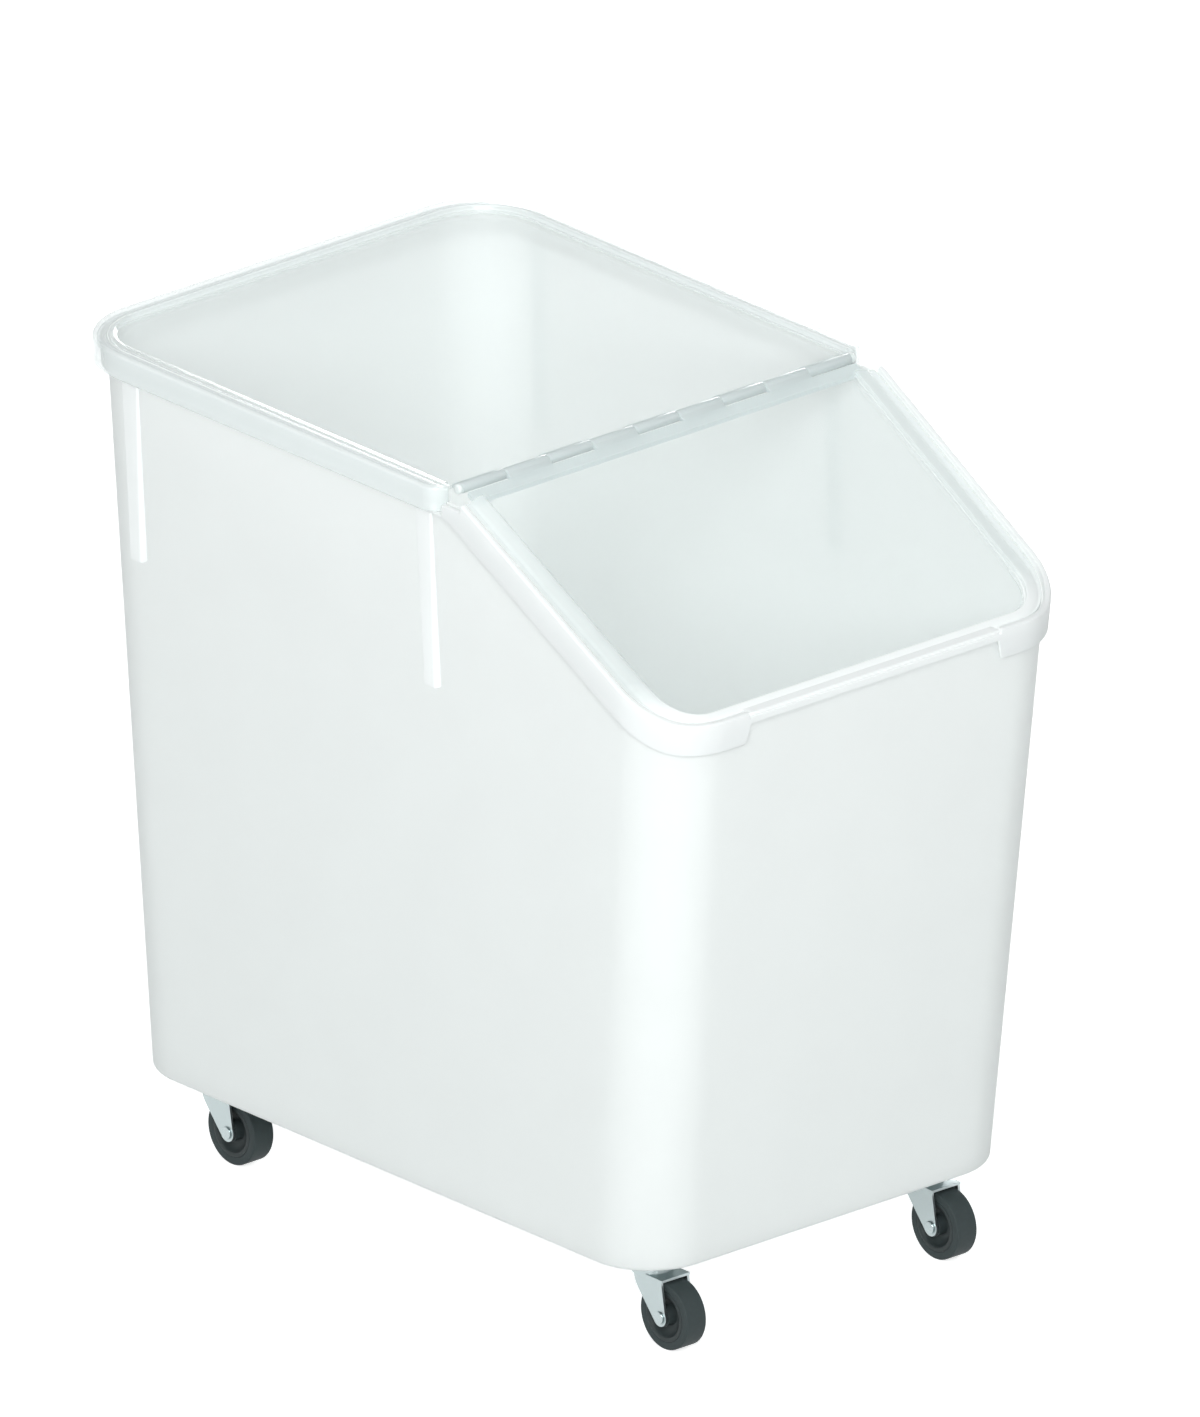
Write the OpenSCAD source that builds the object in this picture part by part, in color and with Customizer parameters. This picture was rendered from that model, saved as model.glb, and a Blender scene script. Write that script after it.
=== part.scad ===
// Mobile ingredient bin with a sloping front, a two-piece clear lid and four swivel casters.
// X runs to the right, Y to the back and Z up. The origin is on the floor, at the middle of
// the whole bin's width and length.

/* [Tub] */
// Outside width of the base
base_w = 359; // [350:1:370]
// Outside length of the base, front to back
base_l = 561; // [550:1:575]
// Height of the rim above the base
tub_h = 557.7; // [545:0.1:570]
// Lean of each side wall from upright, in degrees
side_draft = 1.77; // [1.5:0.01:2.1]
// Lean of the front wall from upright, in degrees
front_draft = 5.6; // [5:0.1:6.2]
// Lean of the rear wall from upright, in degrees
rear_draft = 3.16; // [2.8:0.01:3.5]
// Outside radius of the four upright corners
corner_r = 52; // [48:1:56]
// Thickness of the walls
wall_t = 3.2; // [2.8:0.1:3.6]
// Thickness of the floor
floor_t = 4; // [3.5:0.1:5]
// Radius of the edge round the base, outside
base_edge_r = 4; // [3:0.5:5]
// Radius between the floor and the walls, inside
floor_edge_r = 12; // [8:1:16]

/* [Slope] */
// Angle of the sloping front from level
slope_angle = 29; // [27:0.5:31]
// Distance from the front of the rim back to the crest
crest_back = 227.5; // [222:0.5:232]
// Radius where the rim turns over the crest
crest_r = 40; // [30:1:50]

/* [Rim] */
// How far the rim stands out from the wall
rim_out = 5; // [4.5:0.1:6]
// Thickness of the rim's skirt
rim_t = 2.4; // [2:0.1:2.6]
// Thickness of the web between the wall and the rim's skirt
rim_web = 3; // [2.5:0.1:4]
// Depth of the rim's skirt along the level part
rim_drop = 20; // [18:0.5:22]
// Depth of the rim's skirt along the slope, square to it
slope_drop = 23; // [21:0.5:25]
// Depth of the deep tabs at the front corners
tab_drop = 24; // [22:0.5:26]
// Depth of the skirt between the tabs, where fingers reach the lid
grip_drop = 9; // [8:0.5:12]
// Width of the finger grip between the tabs
grip_w = 240; // [220:1:250]
// Radius in the corners of the finger grip and of the tabs beside it
grip_r = 5; // [2:0.5:7]
// Depth of the notches in the rim at the crest, where the hinge ends
notch_drop = 9.7; // [8:0.1:12]
// Depth of the slots behind them, for the rear lid's front ends
slot_drop = 18.2; // [17.2:0.1:19]
// Radius in the lower corner of the notches
notch_r = 3; // [1:0.5:4]
// How far the notches reach in front of the crest
notch_front = 6.5; // [5:0.5:8]

/* [Nesting ribs] */
// Width of a rib where it leaves the rim
rib_top_w = 18; // [16:0.5:20]
// Width of a rib at its foot
rib_foot_w = 13.5; // [12:0.5:16]
// Height of the ribs' feet above the base
rib_foot_h = 401; // [385:1:415]
// How far a rib stands out from the wall at the rim
rib_out = 1; // [0.8:0.1:1.5]
// Distance of the front rib's foot in front of the crest's rear end, towards the back
front_rib_back = 31; // [25:0.5:40]
// Distance between the feet of the two ribs of a side
rib_pitch = 317; // [300:1:325]
// Lean of the ribs towards the front, going down, in degrees
rib_lean = 3; // [2:0.1:4]

/* [Lids] */
// Thickness of the clear lids
lid_t = 3; // [2.6:0.1:3.4]
// Gap between a lid and what it rests on
seat_gap = 0.3; // [0.25:0.05:0.5]
// Gap between the rim and the rear lid's skirt
skirt_gap = 2.2; // [1.8:0.1:2.6]
// Thickness of the rear lid's skirt
skirt_t = 3; // [2.6:0.1:3.4]
// Depth of the rear lid's skirt below its top
skirt_drop = 20; // [18:0.5:22]
// Radius of the rear lid's two front corners
lid_front_r = 14.2; // [12:0.1:15]
// Width of the rear lid's closed ends, beside the hinge
lid_end_w = 14.2; // [13:0.1:15]
// Depth of the rear lid's panel below its border
panel_sink = 3.5; // [3:0.1:4]
// Gap between the sunk panel's edge and the tub's inside
plug_gap = 0.5; // [0.4:0.1:1]
// Distance from the crest back to the rear lid's front face
crest_to_lid = 14.9; // [14:0.1:16]
// Thickness of the rim's upstand round the front lid
upstand_t = 5; // [4:0.1:6]
// Gap between the front lid and the upstand at the sides
side_gap = 0.6; // [0.5:0.1:1]
// Gap between the front lid and the upstand at the front, which the lid swings through
front_gap = 3.8; // [3.6:0.1:4.5]
// Width of the front lid's low edge strip at the sides
strip_w = 6; // [5:0.5:7]
// Width of the front lid's raised border at the sides
border_w = 13.4; // [12:0.1:15]
// Width of the front lid's raised border at the front
front_border_w = 7; // [6:0.5:9]
// Height of the front lid's raised border above its panel
border_h = 3.2; // [2.8:0.1:3.5]
// Radius of the front lid's two front corners
front_lid_r = 49; // [46:1:50]
// Gap between the finger lip and the rim's tabs
lip_gap = 0.5; // [0.4:0.1:1]
// How far the finger lip stays behind the front of the rim
lip_back = 1; // [0.5:0.1:2]

/* [Lid hinge] */
// Diameter of the hinge pin
pin_d = 4; // [3.5:0.1:4.5]
// Running clearance of the pin in the knuckles, on the radius
pin_clear = 0.08; // [0.05:0.01:0.1]
// Outside diameter of the knuckles
knuckle_d = 8; // [7.4:0.1:8.4]
// Gap between neighbouring knuckles
knuckle_gap = 0.6; // [0.5:0.1:1]
// Number of knuckles across both lids
knuckle_n = 9; // [7:2:11]
// Distance of the hinge's ends in from the outside of the rim
hinge_in = 16.7; // [16:0.1:20]
// Distance of the pin in front of the rear lid's front face
pin_front = 3.6; // [3:0.1:4.5]
// Distance from the pin to the edge of the front lid's panel, along the slope
front_leaf_gap = 8.8; // [8.6:0.1:9.5]
// Distance from the pin to the edge of the rear lid's panel
rear_leaf_gap = 8.3; // [8.1:0.1:9]
// Depth of the stiffening ribs beside the hinge
hinge_rib_h = 5; // [3:0.5:6]
// Thickness of the stiffening ribs beside the hinge
hinge_rib_t = 2.5; // [2:0.1:3]
// Distance of the stiffening ribs from the pin
hinge_rib_back = 20; // [18:0.5:22]
// Distance of the front lid's raised border from the pin
border_back = 21.5; // [21:0.5:24]
// Distance of the front lid's side strips in front of the crest
strip_back = 4; // [3.5:0.5:5]
// Length of each push-on cap
cap_l = 3.5; // [3:0.1:4]
// Diameter of each push-on cap
cap_d = 7.6; // [7:0.1:8]

/* [Casters] */
// Height of a caster from the floor to the top of its plate
caster_h = 70; // [68:0.5:72]
// Depth of the pockets in the base that the plates sit in
pocket_d = 1; // [0.8:0.1:1.5]
// Distance of the swivel axes in from the base's sides
caster_in_x = 50.5; // [48:0.5:54]
// Distance of the swivel axes in from the base's front and rear edges
caster_in_y = 47.2; // [45:0.1:52]
// Side of the square mounting plate
plate_w = 60; // [56:1:62]
// Thickness of the mounting plate
plate_t = 2.5; // [2:0.1:3]
// Radius of the plate's corners
plate_r = 6; // [4:0.5:8]
// Gap round the plate in its pocket
pocket_gap = 0.5; // [0.4:0.1:1]
// Distance between screw holes, along each side
screw_pitch = 46; // [42:1:47]
// Diameter of the plate screws
screw_d = 5; // [4:0.5:5]
// Clearance of a screw in the plate, on the radius
screw_clear = 0.3; // [0.2:0.05:0.5]
// Clearance of a screw's thread in its boss, on the radius
thread_clear = 0.05; // [0.02:0.01:0.1]
// Spare depth of the blind holes past the screws' ends
screw_room = 0.5; // [0.3:0.1:1]
// Length of the plate screws under the head
screw_l = 14; // [12:0.5:15]
// Diameter of the screw heads
screw_head_d = 9.5; // [9:0.1:10]
// Height of the screw heads
screw_head_h = 2.6; // [2:0.1:3]
// Diameter of the screw bosses inside the tub
boss_d = 14; // [12:0.5:15]
// Plastic left above the end of a screw
boss_cap = 3; // [2.5:0.5:4]

/* [Caster swivel] */
// Distance of the wheel axle from the swivel axis
trail = 22.6; // [21:0.1:24]
// Diameter of the kingpin
kingpin_d = 8; // [7:0.5:9]
// Running clearance of the kingpin, on the radius
kingpin_clear = 0.08; // [0.05:0.01:0.1]
// Diameter of the kingpin's lower head
kingpin_head_d = 13; // [12:0.5:14]
// Height of the kingpin's lower head
kingpin_head_h = 3; // [2.5:0.1:4]
// Diameter of the bearing balls
ball_d = 5; // [4.5:0.1:5]
// Number of bearing balls
ball_n = 12; // [10:1:12]
// Radius of the ring of balls
ball_ring_r = 11; // [10.8:0.1:11.2]
// Gap between a ball and each race
ball_gap = 0.05; // [0.02:0.01:0.1]
// Outside diameter of the dust ring round the balls
dust_ring_d = 32; // [31:0.5:34]
// Inside diameter of the dust ring round the balls
dust_ring_bore = 28; // [27.5:0.1:28.5]
// Height of the dust ring below the plate
dust_ring_h = 3; // [2:0.5:3.5]

/* [Fork] */
// Width across the fork
fork_w = 26.8; // [26:0.1:28]
// Thickness of the fork's sheet steel
fork_t = 2; // [1.8:0.1:2.2]
// Height of the fork's crown above the floor
crown_h = 54.3; // [54:0.1:55]
// Distance of the crown's front edge in front of the swivel axis
crown_front = 25.2; // [24:0.1:26]
// Diameter of the dome drawn up from the crown
dome_d = 30; // [29:0.5:31]
// Radius of the rounded end of each leg
leg_end_r = 6.8; // [6:0.1:7.5]
// Angle of the legs' rear edge from level
leg_angle = 49.5; // [46:0.5:52]
// Angle of the legs' front edge from upright
leg_front_angle = 10; // [8:0.5:12]

/* [Wheels] */
// Diameter over the tyre
wheel_d = 50.8; // [50:0.1:51.4]
// Width of the wheel
wheel_w = 18.4; // [17:0.1:19]
// Diameter of the moulded centre, inside the tyre
core_d = 39; // [37:0.5:41]
// Radius of the tyre's edges
tyre_edge_r = 1.6; // [1:0.1:2.2]
// Diameter of the dished recess in each face
dish_d = 32; // [30:0.5:34]
// Thickness of the web between the dishes
web_t = 5; // [4:0.5:7]
// Diameter of the hub boss
hub_d = 15; // [14:0.5:17]
// Length of the hub boss
hub_l = 21.4; // [20:0.1:21.6]
// Diameter of the axle bolt
axle_d = 6; // [5:0.5:6.5]
// Running clearance on the axle and on the bush, on the radius
axle_clear = 0.08; // [0.05:0.01:0.1]
// Wall of the bush
bush_t = 1.5; // [1:0.1:2]
// End gap of the bush between the legs
bush_gap = 0.1; // [0.05:0.05:0.2]
// Diameter of the axle bolt's low head
axle_head_d = 9.4; // [9:0.1:10.5]
// Height of the axle bolt's low head
axle_head_h = 1.4; // [1.2:0.1:2]
// Width across the flats of the axle nut
nut_w = 10; // [9:0.5:11]
// Height of the axle nut
nut_h = 4.5; // [4:0.1:5]
// How far the axle bolt stands out of its nut
axle_proud = 1; // [0.5:0.5:2]

/* [Hidden] */
$fn = 48;

// Each caster's name, and its side along X and Y
CASTERS = [["fl", -1, -1], ["fr", 1, -1], ["rl", -1, 1], ["rr", 1, 1]];
CASTER_PIECES = ["plate", "plate_screws", "balls", "kingpin", "fork", "axle_bolt",
                 "axle_nut", "bush", "hub", "tyre"];

seat_d = border_h + lid_t + seat_gap; // depth of the front lid's seat, square to the slope
web_d = seat_d + rim_web;             // depth of the web's underside on the slope
far = 500;     // past every edge of the bin
over = 1;      // how far a cut or a root runs past a face
skin = 0.01;   // thickness of the sections that a hull joins
rim_edge_r = 1; // radius of the lower edge of the rim

// Heights
base_z = caster_h - pocket_d;
rim_z = base_z + tub_h;
lid_z = rim_z + seat_gap + lid_t;
panel_z = lid_z - panel_sink;

// The rim's front and the whole length: front run, base, rear run, rim and skirt
slope_fall = (crest_back - lip_flat()) * tan(slope_angle);
lip_z = rim_z - slope_fall;
front_run = tan(front_draft) * (lip_z - base_z);
rear_run = tan(rear_draft) * tub_h;
whole_l = front_run + base_l + rear_run + 2 * rim_out + skirt_gap + skirt_t;
rim_front_y = -whole_l / 2;
base_front_y = rim_front_y + rim_out + front_run;
base_rear_y = base_front_y + base_l;
crest_y = rim_front_y + crest_back;
rear_lid_y = crest_y + crest_to_lid;
rear_end_y = whole_l / 2;
lid_half_w = half_w(rim_z) + rim_out + skirt_gap + skirt_t;
hinge_w = 2 * (half_w(rim_z) + rim_out - hinge_in); // width across all the knuckles

// Front of the notches, and the end of the rim behind the rear lid's turned-in end
notch_y = crest_y - notch_front;
rim_end_y = rear_lid_y + lid_front_r + skirt_gap / 2
    - sqrt(pow(lid_front_r - skirt_t, 2) - pow(lid_front_r - skirt_t - skirt_gap, 2));

// Depth of the level top of the front of the rim
function lip_flat() = upstand_t + front_border_w;

// Half the outside width of the tub, and its front and rear faces, at height z
function half_w(z) = base_w / 2 + tan(side_draft) * (z - base_z);
function front_y(z) = base_front_y - tan(front_draft) * (z - base_z);
function rear_y(z) = base_rear_y + tan(rear_draft) * (z - base_z);

// Points of a circular arc from angle a0 to angle a1
function arc(x, y, r, a0, a1, n = 10) =
    [for (i = [0:n]) let (a = a0 + (a1 - a0) * i / n) [x + r * cos(a), y + r * sin(a)]];

// Height of the slope's plane at y, at a depth square to it
function slope_z(y, depth) = rim_z - depth / cos(slope_angle) + tan(slope_angle) * (y - crest_y);

// Where the slope's plane at a depth reaches height z
function slope_y(z, depth) = crest_y + (z - rim_z + depth / cos(slope_angle)) / tan(slope_angle);

// The rim's line seen from the side: level front, slope, rounded crest and level rear
function rim_line(flat_z, depth, front_z) =
    let (turn_y = slope_y(flat_z, depth) + crest_r * tan(slope_angle / 2))
    concat([[-far, front_z], [slope_y(front_z, depth), front_z]],
           arc(turn_y, flat_z - crest_r, crest_r, 90 + slope_angle, 90),
           [[far, flat_z]]);

// All that lies below a line seen from the side
module below(line)
    rotate([90, 0, 90]) linear_extrude(2 * far, center = true)
        polygon(concat(line, [[far, -far], [-far, -far]]));

// Level section of the tub at height z, grown outwards
module section(z, grow)
    translate([0, 0, z]) linear_extrude(skin)
        offset(r = corner_r + grow)
            translate([-half_w(z) + corner_r, front_y(z) + corner_r])
                square([2 * (half_w(z) - corner_r), rear_y(z) - front_y(z) - 2 * corner_r]);

// Tapered body of the tub from one height up to another, with a rounded lower edge
module body(z_low, z_high, grow, edge_r)
    hull() {
        section(z_high - skin, grow);
        for (a = [0:30:90])
            section(z_low + edge_r * (1 - sin(a)), grow - edge_r * (1 - cos(a)));
    }

// The rim: a skirt that hangs from a web round the top of the wall
module rim() {
    top = rim_line(rim_z, 0, lip_z);
    low_z = lip_z - tab_drop - slope_drop;
    difference() {
        intersection() {
            body(low_z, rim_z, rim_out, rim_edge_r);
            below(top);
        }
        below(rim_line(rim_z - rim_drop, slope_drop, lip_z - tab_drop));
        difference() {
            intersection() {
                body(low_z - over, rim_z, rim_out - rim_t, rim_edge_r);
                below(rim_line(rim_z - rim_web, web_d, lip_z - web_d));
            }
            // the rim stays solid round the notches
            translate([-far, notch_y - rim_t, rim_z - slot_drop - rim_web])
                cube([2 * far, rim_end_y - notch_y + 2 * rim_t, far]);
        }
        finger_grip();
    }
}

// Shallow stretch of the rim's skirt at the front, rounded into the tabs beside it
module finger_grip() {
    top_z = lip_z - grip_drop;
    low_z = lip_z - tab_drop;
    translate([0, rim_front_y + corner_r / 2, 0]) rotate([90, 0, 0]) linear_extrude(corner_r)
        difference() {
            union() {
                translate([-grip_w / 2, 0]) square([grip_w, top_z - grip_r]);
                translate([-grip_w / 2 + grip_r, 0]) square([grip_w - 2 * grip_r, top_z]);
                translate([-grip_w / 2 - grip_r, 0]) square([grip_w + 2 * grip_r, low_z + grip_r]);
                for (side = [-1, 1])
                    translate([side * (grip_w / 2 - grip_r), top_z - grip_r]) circle(grip_r);
            }
            for (side = [-1, 1])
                translate([side * (grip_w / 2 + grip_r), low_z + grip_r]) circle(grip_r);
        }
}

// Notches in the rim at the crest, with a slot where the rear lid's front ends turn in
module crest_notches() {
    low = rim_z - notch_drop;
    slot_y = rear_lid_y - skirt_gap / 2;
    for (side = [-1, 1])
        translate([side > 0 ? hinge_w / 2 : -far, 0, 0]) rotate([90, 0, 90])
            linear_extrude(far - hinge_w / 2)
                polygon(concat(arc(notch_y + notch_r, low + notch_r, notch_r, 180, 270, 6),
                               [[slot_y, low], [slot_y, rim_z - slot_drop],
                                [rim_end_y, rim_z - slot_drop], [rim_end_y, far + low],
                                [notch_y, far + low]]));
}

// Outline of the front lid from above, drawn in from the upstand at the sides and the front
function lid_outline(side_in, front_in, r, back_y) =
    let (edge = rim_out - upstand_t - side_gap - side_in,
         w_crest = half_w(rim_z) + edge,
         w_front = half_w(lip_z) + edge,
         y_front = rim_front_y + upstand_t + front_gap + front_in,
         y_turn = y_front + r,
         w_back = w_crest + (w_front - w_crest) * (crest_y - back_y) / (crest_y - y_turn))
    concat([[w_back, back_y], [-w_back, back_y]],
           arc(-w_front + r, y_turn, r, 180, 270),
           arc(w_front - r, y_turn, r, 270, 360));

// Column standing on an outline
module column(outline)
    translate([0, 0, base_z]) linear_extrude(2 * tub_h) polygon(outline);

// Room cut into the rim for the front lid: the seat round its edge and the finger lip's place
module front_lid_seat() {
    difference() {
        column(lid_outline(-side_gap, -front_gap, front_lid_r, strip_y));
        below(rim_line(rim_z - seat_d, seat_d, lip_z - seat_d));
    }
    translate([-grip_w / 2, rim_front_y - far, lip_z - lid_t - seat_gap])
        cube([grip_w, far + upstand_t + front_gap, far]);
}

// Nesting rib on one side wall, with an upright outer face
module nesting_rib(side, foot_y) {
    foot_z = base_z + rib_foot_h;
    head_z = rim_z - rim_web;
    shift = tan(rib_lean) * (head_z - foot_z);
    inner_x = half_w(foot_z) - wall_t / 2;
    intersection() {
        translate([side * (inner_x + (half_w(rim_z) + rib_out)) / 2, 0, 0]) rotate([90, 0, 90])
            linear_extrude(half_w(rim_z) + rib_out - inner_x, center = true)
                polygon([[foot_y - rib_foot_w / 2, foot_z], [foot_y + rib_foot_w / 2, foot_z],
                         [foot_y + shift + rib_top_w / 2, head_z],
                         [foot_y + shift - rib_top_w / 2, head_z]]);
        below(rim_line(rim_z - rim_web, rim_web, lip_z - rim_web));
    }
}

// Pockets and blind screw holes in the base, one set for each caster
module caster_seat_cuts()
    at_casters() {
        pocket_w = plate_w + 2 * pocket_gap;
        translate([0, 0, base_z - over])
            linear_extrude(pocket_d + over) rounded_square(pocket_w, plate_r + pocket_gap);
        at_screws() translate([0, 0, base_z])
            cylinder(h = screw_l - plate_t + pocket_d + screw_room, d = screw_d + 2 * thread_clear);
    }

module at_screws()
    for (x = [-1, 1], y = [-1, 1])
        translate([x * screw_pitch / 2, y * screw_pitch / 2, 0]) children();

// Bosses inside the tub that take the screws
module screw_bosses()
    at_casters() at_screws() translate([0, 0, base_z + floor_t / 2])
        cylinder(h = screw_l - plate_t + pocket_d + boss_cap - floor_t / 2, d = boss_d);

module rounded_square(w, r)
    polygon(concat(arc(w / 2 - r, w / 2 - r, r, 0, 90), arc(r - w / 2, w / 2 - r, r, 90, 180),
                   arc(r - w / 2, r - w / 2, r, 180, 270), arc(w / 2 - r, r - w / 2, r, 270, 360)));

module tub()
    color("white")
        difference() {
            union() {
                difference() {
                    union() {
                        intersection() {
                            body(base_z, rim_z, 0, base_edge_r);
                            below(rim_line(rim_z, 0, lip_z));
                        }
                        rim();
                        for (side = [-1, 1], y = [0, rib_pitch])
                            nesting_rib(side, crest_y + front_rib_back + y);
                    }
                    body(base_z + floor_t, rim_z + over, -wall_t, floor_edge_r);
                    front_lid_seat();
                    crest_notches();
                }
                screw_bosses();
            }
            caster_seat_cuts();
        }

// Rear corners of the rear lid's outline from above, drawn in by an inset
function rear_corners(inset) =
    let (w = lid_half_w - inset,
         y1 = rear_end_y - inset,
         r = max(corner_r + rim_out + skirt_gap + skirt_t - inset, 1))
    concat(arc(w - r, y1 - r, r, 0, 90), arc(r - w, y1 - r, r, 90, 180));

// The whole outline, with the small radii at the front
function rear_outline(inset) =
    let (w = lid_half_w - inset,
         y0 = rear_lid_y + inset,
         r = max(lid_front_r - inset, 1))
    concat(arc(r - w, y0 + r, r, 180, 270), arc(w - r, y0 + r, r, 270, 360), rear_corners(inset));

// The same outline, run forwards past the rear lid's front edge
function open_outline(inset, front) =
    concat([[inset - lid_half_w, front], [lid_half_w - inset, front]], rear_corners(inset));

module slab(z0, z1, outline)
    translate([0, 0, z0]) linear_extrude(z1 - z0) polygon(outline);

plug_in = skirt_t + skirt_gap + rim_out + wall_t + plug_gap;
pin_y = rear_lid_y - pin_front;
pin_z = lid_z - knuckle_d / 2;
rear_leaf_y = pin_y + rear_leaf_gap;
strip_y = crest_y - strip_back;

// Knuckles of one lid: every second one, starting with the first or the second. The child is
// the leaf that joins them to the lid, seen from the side with the pin as origin
module knuckles(first) {
    pitch = (hinge_w + knuckle_gap) / knuckle_n;
    for (i = [first:2:knuckle_n - 1])
        translate([-hinge_w / 2 + i * pitch, pin_y, pin_z]) rotate([90, 0, 90])
            linear_extrude(pitch - knuckle_gap) {
                circle(d = knuckle_d);
                children();
            }
}

module pin_bore()
    translate([0, pin_y, pin_z]) rotate([0, 90, 0])
        cylinder(h = hinge_w + 2 * over, r = pin_d / 2 + pin_clear, center = true);

module rear_lid()
    color([0.86, 0.93, 0.92, 0.5])
        difference() {
            union() {
                difference() {
                    slab(lid_z - skirt_drop, lid_z, rear_outline(0));
                    slab(0, lid_z - lid_t, rear_outline(skirt_t));
                    // the lid's front is open below its plate, between its closed ends
                    translate([lid_end_w - lid_half_w, rear_lid_y - over, 0])
                        cube([2 * (lid_half_w - lid_end_w), corner_r, lid_z - lid_t]);
                    slab(panel_z, lid_z + over, open_outline(plug_in + lid_t, rear_lid_y - over));
                }
                rear_panel();
            }
            pin_bore();
        }

// Sunk panel of the rear lid, its upright edge, the hinge's knuckles and stiffening ribs
module rear_panel() {
    difference() {
        slab(panel_z - lid_t, lid_z - lid_t / 2, open_outline(plug_in, rear_leaf_y));
        slab(panel_z, lid_z + over, open_outline(plug_in + lid_t, rear_leaf_y - over));
        translate([-far, rear_leaf_y - over, panel_z])
            cube([2 * far, rear_lid_y - rear_leaf_y + over, far]);
    }
    for (y = [rear_leaf_y, pin_y + hinge_rib_back])
        translate([-hinge_w / 2, y, panel_z - lid_t - hinge_rib_h])
            cube([hinge_w, hinge_rib_t, hinge_rib_h + lid_t / 2]);
    knuckles(0)
        translate([0, panel_z - lid_t - pin_z]) square([rear_leaf_y - pin_y + over, lid_t]);
}

// Everything above the slope's plane at a depth, with its level front
module above_slant(depth)
    rotate([90, 0, 90]) linear_extrude(2 * far, center = true)
        polygon([[-far, lip_z - depth], [slope_y(lip_z - depth, depth), lip_z - depth],
                 [far, slope_z(far, depth)], [far, 2 * far], [-far, 2 * far]]);

// Layer of the front lid between two depths below the slope's plane
module lid_layer(depth0, depth1, outline)
    difference() {
        intersection() {
            column(outline);
            above_slant(depth1);
        }
        above_slant(depth0);
    }

// Room under the front lid's raised border, which is hollow
module border_hollow(back_y)
    difference() {
        lid_layer(lid_t, seat_d + over, lid_outline(strip_w + lid_t, front_border_w - lid_t,
                                                    front_lid_r - strip_w, back_y));
        column(lid_outline(strip_w + border_w - lid_t, front_border_w - lid_t,
                           front_lid_r - strip_w, back_y + over));
    }

module front_lid() {
    border_y = pin_y - border_back;
    color([0.86, 0.93, 0.92, 0.5])
        difference() {
            union() {
                // edge strip and panel in one plate
                lid_layer(border_h, border_h + lid_t, lid_outline(0, 0, front_lid_r, strip_y));
                // raised border round the sunk panel
                difference() {
                    lid_layer(0, border_h + lid_t,
                              lid_outline(strip_w, 0, front_lid_r - strip_w / 2, border_y));
                    lid_layer(-over, border_h, lid_outline(strip_w + border_w, front_border_w,
                                                           front_lid_r - strip_w, border_y + over));
                }
                finger_lip();
                hinge_leaf();
                knuckles(1)
                    rotate(slope_angle) translate([-front_leaf_gap - over, pin_depth() - border_h - lid_t])
                        square([front_leaf_gap + over, lid_t]);
            }
            border_hollow(border_y - lid_t);
            pin_bore();
        }
}

// How deep the pin's axis lies below the slope's plane, square to it
function pin_depth() = (slope_z(pin_y, 0) - pin_z) * cos(slope_angle);

// Plate between the front lid's panel and its knuckles, with a stiffening rib below
module hinge_leaf() {
    under = border_h + lid_t;
    rib_y = pin_y - hinge_rib_back;
    lid_layer(border_h, under, strip(strip_y - over, pin_y - front_leaf_gap * cos(slope_angle)));
    lid_layer(under - lid_t / 2, under + hinge_rib_h, strip(rib_y, rib_y + hinge_rib_t));
}

// Outline of a strip as wide as the hinge
function strip(y0, y1) =
    [[-hinge_w / 2, y0], [hinge_w / 2, y0], [hinge_w / 2, y1], [-hinge_w / 2, y1]];

// Lip over the front of the rim, for the fingers
module finger_lip()
    translate([-grip_w / 2 + lip_gap, rim_front_y + lip_back, lip_z - lid_t])
        cube([grip_w - 2 * lip_gap, upstand_t + front_gap + over - lip_back, lid_t]);

module hinge_pin()
    color("silver")
        translate([0, pin_y, pin_z]) rotate([0, 90, 0])
            cylinder(h = hinge_w + cap_l, d = pin_d, center = true);

module pin_caps()
    color("whitesmoke")
        for (side = [-1, 1])
            translate([side * (hinge_w / 2 + knuckle_gap + cap_l / 2), pin_y, pin_z])
                rotate([0, 90, 0]) difference() {
                    cylinder(h = cap_l, d = cap_d, center = true);
                    translate([0, 0, -side * (cap_l / 2 + knuckle_gap)])
                        cylinder(h = cap_l + 2 * knuckle_gap, r = pin_d / 2 + pin_clear,
                                 center = true);
                }

function caster_x(c) = c[1] * (base_w / 2 - caster_in_x);
function caster_y(c) = c[2] < 0 ? base_front_y + caster_in_y : base_rear_y - caster_in_y;

module at_caster(c)
    translate([caster_x(c), caster_y(c), 0]) children();

module at_casters()
    for (c = CASTERS) at_caster(c) children();

// Caster pieces, with the swivel axis along Z and the wheel in front of it
axle_z = wheel_d / 2;
plate_z = caster_h - plate_t;
dome_z = plate_z - ball_d - 2 * ball_gap;

module plate()
    color("gainsboro")
        difference() {
            union() {
                translate([0, 0, plate_z]) linear_extrude(plate_t) rounded_square(plate_w, plate_r);
                translate([0, 0, plate_z - dust_ring_h]) difference() {
                    cylinder(h = dust_ring_h + plate_t / 2, d = dust_ring_d);
                    translate([0, 0, -over]) cylinder(h = dust_ring_h + over, d = dust_ring_bore);
                }
            }
            translate([0, 0, plate_z - over])
                cylinder(h = plate_t + 2 * over, r = kingpin_d / 2 + kingpin_clear);
            at_screws() translate([0, 0, plate_z - over])
                cylinder(h = plate_t + 2 * over, r = screw_d / 2 + screw_clear);
        }

module plate_screws()
    color("silver")
        at_screws() translate([0, 0, plate_z - screw_head_h]) {
            cylinder(h = screw_head_h, d = screw_head_d);
            cylinder(h = screw_head_h + screw_l, d = screw_d);
        }

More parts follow.
